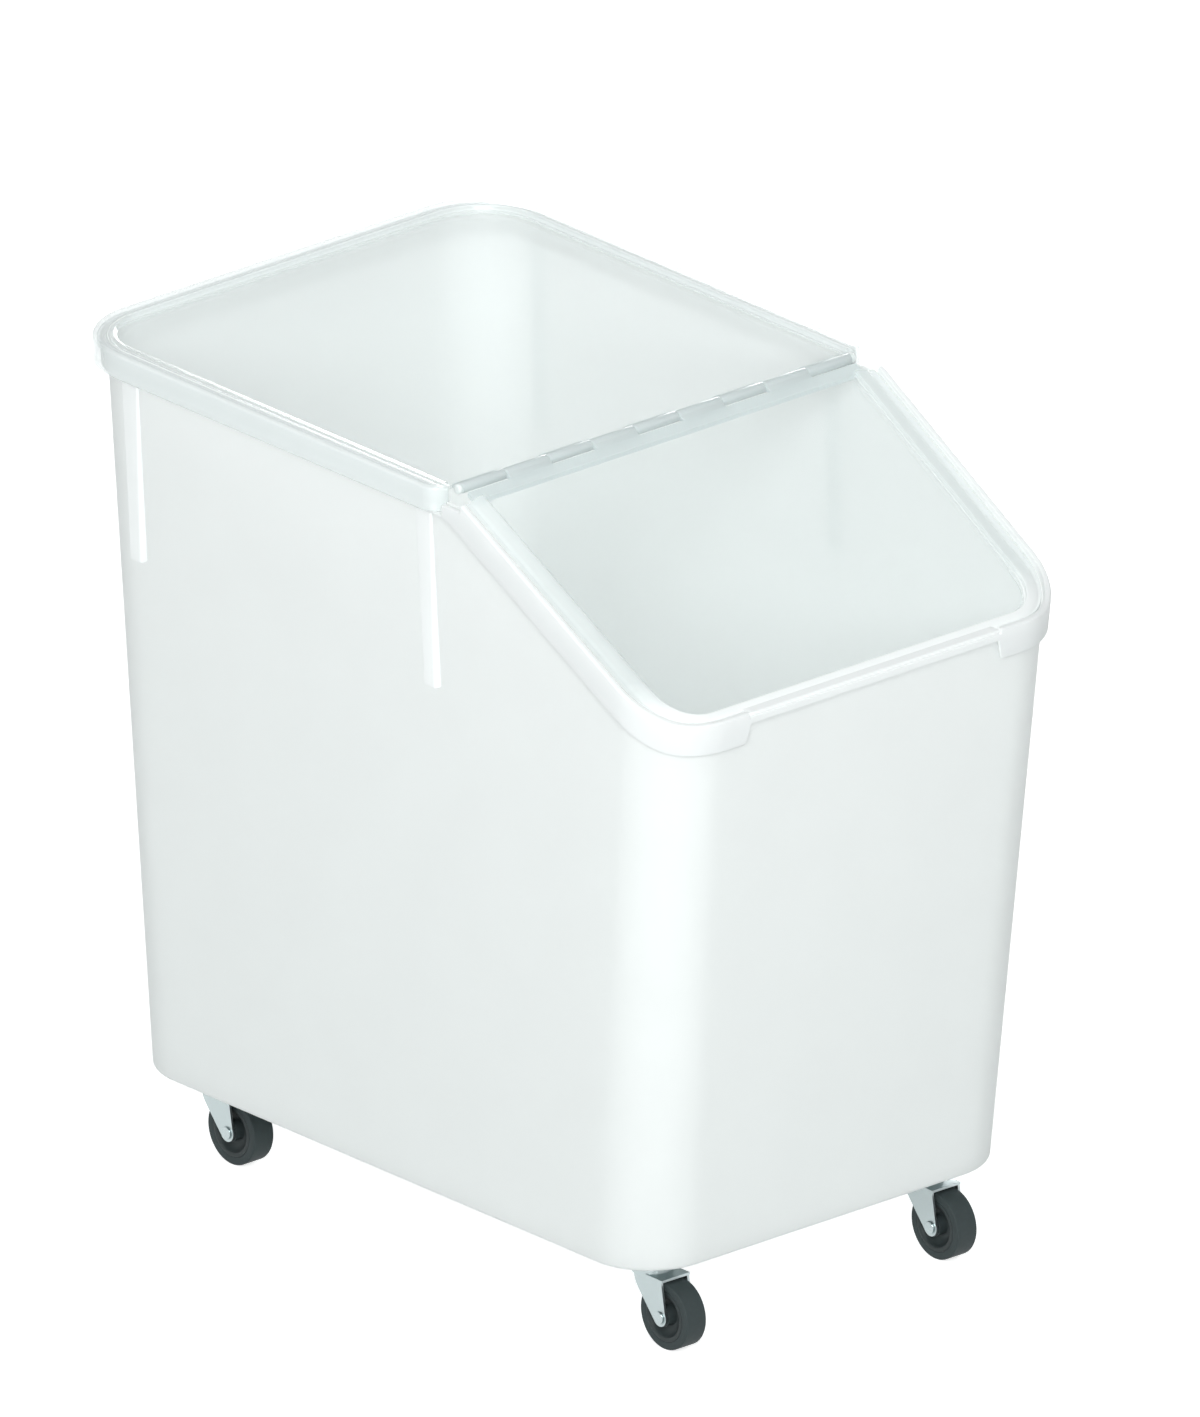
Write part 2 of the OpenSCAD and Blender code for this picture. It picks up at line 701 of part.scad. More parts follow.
module balls()
    color("dimgray")
        for (i = [0:ball_n - 1])
            rotate([0, 0, i * 360 / ball_n]) translate([ball_ring_r, 0, plate_z - ball_gap - ball_d / 2])
                sphere(d = ball_d, $fn = 24);

module kingpin()
    color("silver") {
        head_z = dome_z - fork_t - ball_gap;
        translate([0, 0, head_z - kingpin_head_h]) cylinder(h = kingpin_head_h, d = kingpin_head_d);
        translate([0, 0, head_z - kingpin_head_h])
            cylinder(h = caster_h - head_z + kingpin_head_h, d = kingpin_d);
    }

// Outline of the fork from above: straight sides and a round back
module fork_plan(inset, reach)
    let (w = fork_w / 2 - inset,
         front = -reach - (inset > 0 ? over : 0))
    polygon(concat([[w, front]], arc(0, 0, w, 0, 180, 24), [[-w, front]]));

// Outline of the fork's legs from the side, down to the round ends at the axle
module leg_profile() {
    rise = crown_h - axle_z;
    r = 0.99 * leg_end_r; // a little inside the round end, so that the edges cross it
    front = [-r * cos(leg_front_angle), -r * sin(leg_front_angle)];
    rear = [r * sin(leg_angle), -r * cos(leg_angle)];
    top_front = front[0] + (rise - front[1]) * tan(leg_front_angle);
    top_rear = rear[0] + (rise - rear[1]) / tan(leg_angle);
    translate([-trail, axle_z]) {
        polygon([front, rear, [top_rear, rise], [top_front, rise]]);
        circle(leg_end_r);
    }
}

module fork()
    color("lightgray")
        difference() {
            union() {
                intersection() {
                    linear_extrude(crown_h) difference() {
                        fork_plan(0, trail + leg_end_r + over);
                        fork_plan(fork_t, trail + leg_end_r + over);
                    }
                    rotate([90, 0, 90]) linear_extrude(fork_w + over, center = true) leg_profile();
                }
                translate([0, 0, crown_h - fork_t]) linear_extrude(fork_t) fork_plan(0, crown_front);
                translate([0, 0, crown_h - fork_t]) cylinder(h = dome_z - crown_h + fork_t, d = dome_d);
            }
            translate([0, 0, crown_h - fork_t - over])
                cylinder(h = dome_z - crown_h + over, d = dome_d - 2 * fork_t);
            cylinder(h = caster_h, r = kingpin_d / 2 + kingpin_clear);
            at_axle() cylinder(h = 2 * fork_w, r = axle_d / 2 + axle_clear, center = true);
        }

// Turns a piece's own Z along the axle
module at_axle()
    translate([0, -trail, axle_z]) rotate([0, 90, 0]) children();

bush_l = fork_w - 2 * fork_t - 2 * bush_gap;
bush_r = axle_d / 2 + axle_clear + bush_t;

module axle_bolt()
    color("silver")
        at_axle() {
            translate([0, 0, -fork_w / 2 - axle_head_h - bush_gap])
                cylinder(h = axle_head_h, d = axle_head_d);
            translate([0, 0, -fork_w / 2 - axle_head_h / 2])
                cylinder(h = fork_w + axle_head_h / 2 + nut_h + axle_proud, d = axle_d);
        }

module axle_nut()
    color("silver")
        at_axle() translate([0, 0, fork_w / 2 + bush_gap]) difference() {
            cylinder(h = nut_h, d = nut_w / cos(30), $fn = 6);
            translate([0, 0, -over])
                cylinder(h = nut_h + 2 * over, r = axle_d / 2 + thread_clear);
        }

module bush()
    color("dimgray")
        at_axle() difference() {
            cylinder(h = bush_l, r = bush_r, center = true);
            cylinder(h = bush_l + 2 * over, r = axle_d / 2 + axle_clear, center = true);
        }

module hub()
    color([0.2, 0.23, 0.24])
        at_axle() difference() {
            union() {
                cylinder(h = hub_l, d = hub_d, center = true);
                difference() {
                    cylinder(h = wheel_w, d = core_d, center = true);
                    for (side = [-1, 1])
                        translate([0, 0, side * (web_t + wheel_w) / 2])
                            cylinder(h = wheel_w, d = dish_d, center = true);
                }
            }
            cylinder(h = hub_l + 2 * over, r = bush_r + axle_clear, center = true);
        }

module tyre()
    color([0.27, 0.31, 0.31])
        at_axle() rotate_extrude($fn = 96) {
            r0 = core_d / 2;
            r1 = wheel_d / 2;
            e = tyre_edge_r;
            polygon(concat([[r0, -wheel_w / 2]], arc(r1 - e, e - wheel_w / 2, e, -90, 0, 6),
                           arc(r1 - e, wheel_w / 2 - e, e, 0, 90, 6), [[r0, wheel_w / 2]]));
        }

module caster_piece(name) {
    if (name == "plate") plate();
    if (name == "plate_screws") plate_screws();
    if (name == "balls") balls();
    if (name == "kingpin") kingpin();
    if (name == "fork") fork();
    if (name == "axle_bolt") axle_bolt();
    if (name == "axle_nut") axle_nut();
    if (name == "bush") bush();
    if (name == "hub") hub();
    if (name == "tyre") tyre();
}

tub();
rear_lid();
front_lid();
hinge_pin();
pin_caps();
for (c = CASTERS, p = CASTER_PIECES)
    at_caster(c) caster_piece(p);
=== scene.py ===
"""Mobile ingredient bin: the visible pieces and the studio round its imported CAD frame.

The file is laid out as a Blender add-on. Settings are in metres, with Z up, the front
towards -Y and the origin on the floor. The tub, its ribs, both lids, the hinge's knuckles
and the wheels are surfaces worked out with numpy in millimetres; the pressed and turned
steel pieces are merged copies of their CAD solids with rounded edges.
"""

import functools
import math

import bmesh
import bpy
import numpy as np
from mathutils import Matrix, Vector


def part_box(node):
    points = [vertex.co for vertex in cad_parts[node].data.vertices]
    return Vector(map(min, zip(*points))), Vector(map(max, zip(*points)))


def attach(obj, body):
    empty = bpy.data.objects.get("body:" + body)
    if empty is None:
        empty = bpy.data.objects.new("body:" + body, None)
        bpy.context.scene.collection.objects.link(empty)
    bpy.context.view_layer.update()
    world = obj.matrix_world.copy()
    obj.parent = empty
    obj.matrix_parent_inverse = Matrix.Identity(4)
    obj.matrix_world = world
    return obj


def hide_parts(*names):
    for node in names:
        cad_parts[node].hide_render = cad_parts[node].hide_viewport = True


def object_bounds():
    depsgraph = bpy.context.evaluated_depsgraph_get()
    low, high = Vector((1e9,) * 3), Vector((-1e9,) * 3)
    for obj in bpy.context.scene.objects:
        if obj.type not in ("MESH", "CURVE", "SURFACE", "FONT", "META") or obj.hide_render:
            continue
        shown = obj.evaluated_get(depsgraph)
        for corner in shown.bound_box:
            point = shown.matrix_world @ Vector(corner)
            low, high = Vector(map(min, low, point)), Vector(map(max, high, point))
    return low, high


bl_info = {
    "name": "Ingredient bin",
    "version": (1, 0, 0),
    "blender": (4, 5, 0),
    "location": "3D View > Sidebar > Bin",
    "description": "Builds the visible pieces and the studio of a mobile ingredient bin",
    "category": "Object",
}

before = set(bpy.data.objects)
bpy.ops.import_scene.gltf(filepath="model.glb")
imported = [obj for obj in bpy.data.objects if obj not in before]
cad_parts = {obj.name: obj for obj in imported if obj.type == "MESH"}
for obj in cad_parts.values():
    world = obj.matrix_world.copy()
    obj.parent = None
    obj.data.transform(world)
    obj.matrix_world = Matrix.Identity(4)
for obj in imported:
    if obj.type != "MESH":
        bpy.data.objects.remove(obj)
CAD_BOX = [list(corner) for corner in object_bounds()]
TUB_LOW, TUB_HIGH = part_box("tub")
CORNERS = ("fl", "fr", "rl", "rr")
MM = 1000

# Places that follow from the crest and the rim, in millimetres.
LID_SETBACK = 14.9  # from the crest back to the rear lid's front end
PIN_SETBACK = 3.6  # from the rear lid's front end forward to the hinge's pin
STRIP_SETBACK = 4  # from the crest forward to the front lid's rear end
HINGE_INSET = 16.7  # from the rim's side to the hinge's end
LID_GAP = 0.3  # play between the closed front lid and its seat
SIDE_PLAY = 0.6  # play between the front lid and the rim's inside, at each side
FRONT_INSET = 8.8  # from the rim's front back to the front lid's moulding
FRONT_RADIUS = 49  # of the front lid's outer corners
LEAF_REACH = 8.3  # from the pin back to the edge of the rear lid's panel
LID_GROWTH = 10.2  # of the rear lid's rear corners over the tub's radius
EDGE_BAND = 0.6  # from a fold's foot to where its milky tone ends
WEB = 3  # thickness of the rim's web under the seat
BASE_RADIUS = 4  # of the tub's lower edge, outside
FLOOR_RADIUS = 12  # of the tub's lower edge, inside
RIB_SETBACK = 31  # from the crest back to the front ribs' feet
RIB_PITCH = 317  # from the front ribs back to the rear ones
RIB_LEAN = 3  # degrees that the ribs lean back
RIB_PROUD, RIB_SUNK = 1.0, 1.4  # from the rim's wall outwards, and into the wall
RIB_EDGE = 2.4  # radius of the ribs' edges
BEND_ROUND, BEND_DIP, BEND_REACH = 5.0, 0.4, 12  # of the bend at the slope's foot
LIP_DIP = 3.3  # depth of the rim under the finger lip
KNUCKLE_GAP = 0.6  # between neighbouring knuckles


def linear(colour):
    """Linear RGB of an sRGB hex colour."""
    parts = [int(colour[i : i + 2], 16) / 255 for i in (1, 3, 5)]
    return tuple(c / 12.92 if c <= 0.04045 else ((c + 0.055) / 1.055) ** 2.4 for c in parts)


def setting(name, text, value, **kind):
    """A number among the settings."""
    return bpy.props.FloatProperty(name=name, description=text, default=value, **kind)


def length(name, text, value):
    """A size in metres."""
    return setting(name, text, value, unit="LENGTH", precision=4)


def turn(name, text, degrees):
    """An angle, kept in radians."""
    return setting(name, text, math.radians(degrees), subtype="ANGLE")


def share(name, text, value):
    """A share between 0 and 1."""
    return setting(name, text, value, min=0, max=1, subtype="FACTOR")


def colour(name, text, value):
    """A colour, given as an sRGB hex value."""
    return bpy.props.FloatVectorProperty(
        name=name, description=text, default=linear(value), subtype="COLOR", size=3, min=0, max=1
    )


class BinTubSizes(bpy.types.PropertyGroup):
    """Sizes and colours of the tub, its rim and its nesting ribs."""

    base_width: length("Base width", "Outside width of the base", 0.359)
    base_length: length("Base length", "Outside length of the base", 0.561)
    side_draft: turn("Side draft", "Lean of the side walls from upright", 1.77)
    front_draft: turn("Front draft", "Lean of the front wall from upright", 5.6)
    rear_draft: turn("Rear draft", "Lean of the rear wall from upright", 3.16)
    corner: length("Corner radius", "Outside radius of the upright corners", 0.052)
    wall: length("Wall", "Thickness of the walls", 0.0032)
    floor: length("Floor", "Thickness of the floor", 0.004)
    slope: turn("Slope", "Angle of the sloping front from level", 29)
    crest_back: length("Crest", "Distance from the front of the rim to the crest", 0.2275)
    crest_radius: length("Crest radius", "Radius where the rim turns over the crest", 0.040)
    rim_out: length("Rim", "How far the rim stands out from the wall", 0.005)
    rim_drop: length("Rim depth", "Depth of the rim's skirt along the level part", 0.020)
    slope_drop: length("Slope rim depth", "Depth of the skirt along the slope, square to it", 0.023)
    tab_drop: length("Tab depth", "Depth of the tabs at the front corners", 0.024)
    grip_drop: length("Grip depth", "Depth of the rim between the tabs", 0.009)
    grip_width: length("Grip width", "Width of the finger grip between the tabs", 0.240)
    notch_drop: length("Notch depth", "Depth of the notches at the hinge's ends", 0.0097)
    slot_drop: length("Slot depth", "Depth of the slots for the rear lid's turned-in ends", 0.0182)
    rib_top: length("Rib top", "Width of a nesting rib where it leaves the rim", 0.018)
    rib_foot: length("Rib foot", "Width of a nesting rib at its foot", 0.0135)
    rib_drop: length("Rib foot height", "Height of the ribs' feet above the base", 0.401)
    thin: colour("Thin wall", "Natural polyethylene where light shows through it", "#F0F4F3")
    thick: colour("Thick rim", "Natural polyethylene where it is doubled", "#F0F4F4")


class BinLidSizes(bpy.types.PropertyGroup):
    """Sizes and colours of both lids and of the hinge between them."""

    sheet: length("Lid thickness", "Thickness of the clear lids", 0.003)
    skirt: length("Skirt depth", "Depth of the rear lid's skirt below its top", 0.020)
    edge: length("Edge radius", "Radius along the rear lid's upper edge", 0.0035)
    front_corner: length("Front corner", "Radius of the rear lid's front corners", 0.0142)
    border: length("Rear border", "Width of the border round the rear lid's panel", 0.0169)
    sink: length("Sink", "Depth of the rear lid's panel below its border", 0.0035)
    strip: length("Edge strip", "Width of the front lid's low edge strip", 0.006)
    rail: length("Side border", "Width of the front lid's raised border at the sides", 0.0134)
    front_rail: length("Front border", "Width of the raised border at the front", 0.007)
    rise: length("Border height", "Height of the front lid's border above its panel", 0.0032)
    knuckle: length("Knuckle", "Outside diameter of the hinge's knuckles", 0.008)
    clear: colour("Clear plastic", "Tint of the clear lids", "#FCFDFD")
    edge_tint: colour("Edge tint", "Tint of the lids where they are seen at a slant", "#D8E3E3")
    knuckle_tint: colour("Knuckle tint", "Tone of the clear plastic where it is thick", "#DCE5E5")
    haze: colour("Haze", "Colour of the light that the lids scatter", "#D4DFDE")
    border_haze: share("Border haze", "Share of light that the lids' borders scatter", 0.32)
    lip_haze: share("Lip haze", "Share of light that the finger lip scatters", 0.85)
    cap: colour("Cap", "Push-on caps of the hinge pin", "#DDE5E4")


class BinCasterSizes(bpy.types.PropertyGroup):
    """Sizes and colours of the casters."""

    wheel: length("Wheel", "Diameter over the tyre", 0.05079)
    width: length("Wheel width", "Width of the wheel", 0.0184)
    core: length("Centre", "Diameter of the moulded centre inside the tyre", 0.039)
    dish: length("Dish", "Diameter of the recess in each face", 0.032)
    boss: length("Boss", "Diameter of the hub's boss", 0.015)
    boss_length: length("Boss length", "Length of the hub's boss", 0.0214)
    bore: length("Bore", "Diameter of the hub's bore", 0.00932)
    edge: length("Tyre edge", "Radius of the tyre's edges", 0.0011)
    tread: colour("Tread", "Grey rubber of the tyre", "#343D3E")
    centre: colour("Centre", "Moulded centre of the wheel", "#2A3233")
    zinc: colour("Zinc", "Plated steel of the fork and plate", "#B2BCBD")


class BinStageSizes(bpy.types.PropertyGroup):
    """Floor and camera."""

    azimuth: turn("Camera azimuth", "Camera's turn to the left of straight in front", 41.47)
    elevation: turn("Camera elevation", "Camera's height above level", 22.2)
    frame_height: length("Frame height", "Height of what the camera sees", 1.0121)
    floor: colour("Floor", "Pale studio floor", "#DCDEDE")


def node(tree, kind, settings=None, output=0):
    """Adds one shader node and returns one of its outputs.

    Each setting names a socket or a property; another node's output is linked to it."""
    made = tree.nodes.new("ShaderNode" + kind)
    for key, value in (settings or {}).items():
        if isinstance(value, bpy.types.NodeSocket):
            tree.links.new(value, made.inputs[key])
        elif isinstance(key, int) or key in made.inputs:
            made.inputs[key].default_value = value
        else:
            setattr(made, key, value)
    return made.outputs[output] if made.outputs else None


def on_rays(tree, *kinds):
    """1 on rays of the named kinds and 0 on all others: the largest of their flags."""
    flag, *others = [node(tree, "LightPath", output=f"Is {kind} Ray") for kind in kinds]
    for other in others:
        flag = node(tree, "Math", {"operation": "MAXIMUM", 0: flag, 1: other})
    return flag


def new_material(name):
    """An empty node material and its tree."""
    material = bpy.data.materials.new(name)
    material.use_nodes = True
    material.node_tree.nodes.clear()
    return material, material.node_tree


def finish_material(material, shader):
    """Joins a shader to the material's output."""
    node(material.node_tree, "OutputMaterial", {"Surface": shader})
    return material


def once(build):
    """Gives the material that already has the wanted name, and builds it only the first time."""

    @functools.wraps(build)
    def get(name, *values):
        return bpy.data.materials.get(name) or build(name, *values)

    return get


@once
def polyethylene(name, sizes):
    """Natural high-density polyethylene, rotational or blow moulded: milky and waxy.

    The eye gets a soft sheen, light passing through the walls and less of it through the
    doubled rim, slow variation of the milky tone over about 60 mm, and a fine matt grain,
    drawn at 1.2 mm so that it shows."""
    material, tree = new_material(name)
    place = node(tree, "TexCoord", output="Object")
    cloud = node(tree, "TexNoise", {"Scale": MM / 60, "Detail": 3, "Vector": place})
    slow = node(tree, "TexNoise", {"Scale": MM / 25, "Vector": place})
    fine = node(tree, "TexNoise", {"Scale": MM / 1.2, "Vector": place})
    thick = node(tree, "Attribute", {"attribute_name": "thick"}, "Fac")
    thin_tone, thick_tone = (*sizes.thin, 1), (*sizes.thick, 1)
    tone = node(tree, "Mix", {"data_type": "RGBA", 0: thick, 6: thin_tone, 7: thick_tone}, 2)
    dim = node(tree, "MapRange", {
        "From Min": 0.3, "From Max": 0.7, "To Min": 0.985, "To Max": 1.0, "Value": cloud,
    })
    face = node(tree, "BsdfPrincipled", {
        "IOR": 1.54,
        "Base Color": node(tree, "VectorMath", {"operation": "SCALE", 0: tone, "Scale": dim}),
        "Roughness": node(tree, "MapRange", {"To Min": 0.34, "To Max": 0.46, "Value": slow}),
        "Normal": node(tree, "Bump", {"Strength": 0.06, "Distance": 0.0002, "Height": fine}),
    })
    through = node(tree, "BsdfTranslucent", {"Color": (0.97, 0.98, 0.98, 1)})
    passed = node(tree, "MapRange", {"To Min": 0.36, "To Max": 0.28, "Value": thick})
    return finish_material(material, node(tree, "MixShader", {0: passed, 1: face, 2: through}))


@once
def clear_plastic(name, sizes):
    """Clear polycarbonate or copolyester, injection moulded: see-through with a milky cast.

    The sheet passes most light straight on and scatters the rest, more of it at grazing
    angles and in the folded borders, so edges show whiter; a fine sheen lies over it. The
    faint moulding grain is drawn at 2 mm so that it shows. Lamps shine through unhindered."""
    material, tree = new_material(name)
    place = node(tree, "TexCoord", output="Object")
    slow = node(tree, "TexNoise", {"Scale": MM / 90, "Vector": place})
    fine = node(tree, "TexNoise", {"Scale": MM / 2, "Vector": place})
    facing = node(tree, "LayerWeight", {"Blend": 0.5}, "Facing")
    slant, mirror, steep = (
        node(tree, "Math", {"operation": "POWER", 0: facing, 1: power}) for power in (3, 5, 7)
    )
    folded = node(tree, "Attribute", {"attribute_name": "milky"}, "Fac")
    bump = node(tree, "Bump", {"Strength": 0.04, "Distance": 0.0002, "Height": fine})
    flat_tint, edge_tint = (*sizes.clear, 1), (*sizes.edge_tint, 1)
    tint = node(tree, "Mix", {"data_type": "RGBA", 0: steep, 6: flat_tint, 7: edge_tint}, 2)
    see = node(tree, "BsdfTransparent", {"Color": tint})
    panel_haze, fold_haze = (*sizes.haze, 1), (0.9, 0.93, 0.93, 1)
    pale = node(tree, "Mix", {"data_type": "RGBA", 0: folded, 6: panel_haze, 7: fold_haze}, 2)
    haze = node(tree, "BsdfDiffuse", {"Color": pale, "Normal": bump})
    rough = node(tree, "MapRange", {"To Min": 0.14, "To Max": 0.19, "Value": slow})
    gloss = node(tree, "BsdfGlossy", {"Color": (1, 1, 1, 1), "Roughness": rough, "Normal": bump})
    milky = node(tree, "MapRange", {"To Min": 0.03, "To Max": 0.14, "Value": slant})
    milky = node(tree, "Math", {"operation": "MAXIMUM", 0: milky, 1: folded})
    body = node(tree, "MixShader", {0: milky, 1: see, 2: haze})
    sheen = node(tree, "MapRange", {"To Min": 0.03, "To Max": 1.0, "Value": mirror})
    surface = node(tree, "MixShader", {0: sheen, 1: body, 2: gloss})
    seen, unhindered = on_rays(tree, "Camera", "Glossy"), node(tree, "BsdfTransparent")
    return finish_material(material, node(tree, "MixShader", {0: seen, 1: unhindered, 2: surface}))


@once
def thick_plastic(name, sizes):
    """The lids' plastic where it is thick: the hinge's knuckles, which pass soft light only.

    The eye gets a pale, slightly green grey with a soft gloss, cloudy over about 12 mm."""
    material, tree = new_material(name)
    place = node(tree, "TexCoord", output="Object")
    cloud = node(tree, "TexNoise", {"Scale": MM / 12, "Vector": place})
    rough = node(tree, "MapRange", {"To Min": 0.14, "To Max": 0.26, "Value": cloud})
    tone = (*sizes.knuckle_tint, 1)
    face = node(tree, "BsdfPrincipled", {"Base Color": tone, "IOR": 1.57, "Roughness": rough})
    through = node(tree, "BsdfTranslucent", {"Color": (0.9, 0.94, 0.94, 1)})
    return finish_material(material, node(tree, "MixShader", {0: 0.4, 1: face, 2: through}))


@once
def cap_plastic(name, sizes):
    """White nylon, moulded: opaque, slightly green, with a soft gloss that varies over 1.5 mm."""
    material, tree = new_material(name)
    place = node(tree, "TexCoord", output="Object")
    cloud = node(tree, "TexNoise", {"Scale": MM / 1.5, "Vector": place})
    rough = node(tree, "MapRange", {"To Min": 0.3, "To Max": 0.42, "Value": cloud})
    face = {"Base Color": (*sizes.cap, 1), "IOR": 1.53, "Roughness": rough}
    return finish_material(material, node(tree, "BsdfPrincipled", face))


@once
def zinc_steel(name, zinc, roughness):
    """Mild steel, pressed or turned, bright zinc plated: pale grey metal with a soft blur.

    The eye gets blurred reflections, faint clouding of the plating over about 8 mm, and a
    fine grain at 0.8 mm."""
    material, tree = new_material(name)
    place = node(tree, "TexCoord", output="Object")
    cloud = node(tree, "TexNoise", {"Scale": MM / 8, "Detail": 3, "Vector": place})
    fine = node(tree, "TexNoise", {"Scale": MM / 0.8, "Vector": place})
    low, high = roughness - 0.06, roughness + 0.1
    dim = node(tree, "MapRange", {"To Min": 0.92, "To Max": 1.0, "Value": cloud})
    shader = node(tree, "BsdfPrincipled", {
        "Metallic": 1.0,
        "Base Color": node(tree, "VectorMath", {"operation": "SCALE", 0: zinc, "Scale": dim}),
        "Roughness": node(tree, "MapRange", {"To Min": low, "To Max": high, "Value": cloud}),
        "Normal": node(tree, "Bump", {"Strength": 0.05, "Distance": 0.0001, "Height": fine}),
    })
    return finish_material(material, shader)


@once
def dark_plastic(name, tint, low, high, size_mm, ior):
    """Filled nylon, acetal or rubber, moulded: dark grey and matt, with a fine scuffed grain.

    low and high are its least and greatest roughness, and size_mm is the grain's size."""
    material, tree = new_material(name)
    place = node(tree, "TexCoord", output="Object")
    wear = node(tree, "TexNoise", {"Scale": MM / (size_mm * 6), "Detail": 4, "Vector": place})
    fine = node(tree, "TexNoise", {"Scale": MM / size_mm, "Vector": place})
    dim = node(tree, "MapRange", {"To Min": 0.82, "To Max": 1.12, "Value": wear})
    shader = node(tree, "BsdfPrincipled", {
        "IOR": ior,
        "Specular IOR Level": 0.25,
        "Base Color": node(tree, "VectorMath", {"operation": "SCALE", 0: tint, "Scale": dim}),
        "Roughness": node(tree, "MapRange", {"To Min": low, "To Max": high, "Value": wear}),
        "Normal": node(tree, "Bump", {"Strength": 0.12, "Distance": 0.0002, "Height": fine}),
    })
    return finish_material(material, shader)


def put(obj, body, material, replaced=()):
    """Places a finished piece: its material, its body and the nodes it stands for."""
    obj.data.materials.clear()
    obj.data.materials.append(material)
    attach(obj, body)
    if replaced:
        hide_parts(*replaced)


def new_object(name, data):
    """An object in the scene that holds a mesh, a lamp or a camera."""
    obj = bpy.data.objects.new(name, data)
    bpy.context.collection.objects.link(obj)
    return obj


def shade_smooth(mesh, degrees):
    """Smooth shading that stops at edges sharper than an angle."""
    mesh.polygons.foreach_set("use_smooth", np.ones(len(mesh.polygons), dtype=bool))
    mesh.set_sharp_from_angle(angle=math.radians(degrees))


def make_object(name, points, faces, smooth_angle=32):
    """A mesh object from points in millimetres, merged, closed, and smooth up to an angle."""
    mesh = bpy.data.meshes.new(name)
    mesh.from_pydata((points / MM).tolist(), [], faces)
    build = bmesh.new()
    build.from_mesh(mesh)
    bmesh.ops.remove_doubles(build, verts=build.verts, dist=2e-6)
    bmesh.ops.dissolve_degenerate(build, edges=build.edges, dist=1e-7)
    if build.calc_volume(signed=True) < 0:
        bmesh.ops.reverse_faces(build, faces=build.faces)
    build.to_mesh(mesh)
    build.free()
    shade_smooth(mesh, smooth_angle)
    return new_object(name, mesh)


def ring_faces(rows, cols, torus=False):
    """Quads between neighbouring rings, then a fan from each pole.

    Point (row, col) has index row * cols + col, and the two poles come after all the rings.
    A torus has no poles: its last ring joins its first."""
    row, col = (index.ravel() for index in np.mgrid[0 : rows if torus else rows - 1, 0:cols])
    after, below = (col + 1) % cols, (row + 1) % rows * cols
    row = row * cols
    faces = np.stack([row + col, row + after, below + after, below + col], -1).tolist()
    if not torus:
        col = np.arange(cols)
        after, last = (col + 1) % cols, (rows - 1) * cols
        first_pole = np.full(cols, rows * cols)
        faces += np.stack([first_pole, after, col], -1).tolist()
        faces += np.stack([first_pole + 1, last + col, last + after], -1).tolist()
    return faces


def stacked(*coordinates):
    """Points from their x, y and z, each spread to the shape of all."""
    return np.stack(np.broadcast_arrays(*coordinates), -1)


def quarter(count):
    """Pairs of 1 - cosine and 1 - sine, for angles spread evenly from 0 to 90 degrees."""
    a = np.radians(np.linspace(0, 90, count))
    return stacked(1 - np.cos(a), 1 - np.sin(a))


def ring_object(name, rings, poles=None, smooth_angle=32):
    """A closed surface through rings of points, from one pole to the other.

    The poles are the middles of the end rings unless they are given."""
    poles = [rings[0].mean(0), rings[-1].mean(0)] if poles is None else poles
    points = np.concatenate([rings.reshape(-1, 3), np.array(poles, dtype=float)])
    return make_object(name, points, ring_faces(*rings.shape[:2]), smooth_angle)


def shrunk(ring, middle, shares):
    """Rings that have the given shares of a ring's size, drawn in towards a middle point."""
    return middle + (ring[None] - middle) * np.array(shares)[:, None, None]


def smooth_step(value, low, high):
    """0 below low and 1 above high, with an S-shaped rise between them."""
    t = np.clip((value - low) / (high - low), 0, 1)
    return t * t * (3 - 2 * t)


def points_of(mesh):
    """The x, y and z of a mesh's points, in millimetres."""
    points = np.empty(len(mesh.vertices) * 3)
    mesh.vertices.foreach_get("co", points)
    return points.reshape(-1, 3).T * MM


def mark(mesh, name, values):
    """Gives each point of a mesh a number that materials can read by its name."""
    attribute = mesh.attributes.new(name, "FLOAT", "POINT")
    attribute.data.foreach_set("value", np.asarray(values, dtype=np.float32))


def distance_outside(x, y, half, front, rear, r):
    """Distance of points outwards from the edge of a rounded rectangle, negative inside."""
    past_x = np.abs(x) - (half - r)
    past_y = np.maximum(front + r - y, y - (rear - r))
    corner = np.hypot(np.maximum(past_x, 0), np.maximum(past_y, 0))
    return corner + np.minimum(np.maximum(past_x, past_y), 0) - r


def outline(kind, place, half, ends, radii, side_y, front_x):
    """Points on a rounded rectangle, one for each column.

    kind counts the stretches anticlockwise: 0, 2, 4 and 6 are the right side, rear, left side
    and front, and 1, 3, 5 and 7 the corners after them, where place runs from 0 to 1. ends
    and radii have the front's value, then the rear's. A point is its corner's centre plus
    the radius in the direction of its angle; side_y and front_x place those on the sides
    and the front, and place is the share of the half-width at the rear."""
    angle = (kind // 2 + np.where(kind % 2, place, 0)) * math.pi / 2
    rear = (kind > 0) & (kind < 4)
    r = np.where(rear, radii[1], radii[0])
    x = np.where((kind > 2) & (kind < 6), -1, 1) * (half - r) + r * np.cos(angle)
    y = np.where(rear, ends[1] - r, ends[0] + r) + r * np.sin(angle)
    x = np.select([kind == 2, kind == 6], [place * (half - r), front_x], x)
    return x, np.where(kind % 4 == 0, side_y, y)


def lid_columns():
    """Columns round a lid, as outline() takes them.

    Places run from 0 to 1 towards the rear at the sides, and from -1 to 1 across the ends."""
    corner = np.linspace(0, 1, 17)[1:-1]
    side, end = np.linspace(0, 1, 25), np.linspace(-1, 1, 25)
    places = (side, corner, end[::-1], corner, side[::-1], corner, end, corner)
    kinds = [np.full(len(stretch), number) for number, stretch in enumerate(places)]
    return np.concatenate(kinds), np.concatenate(places)


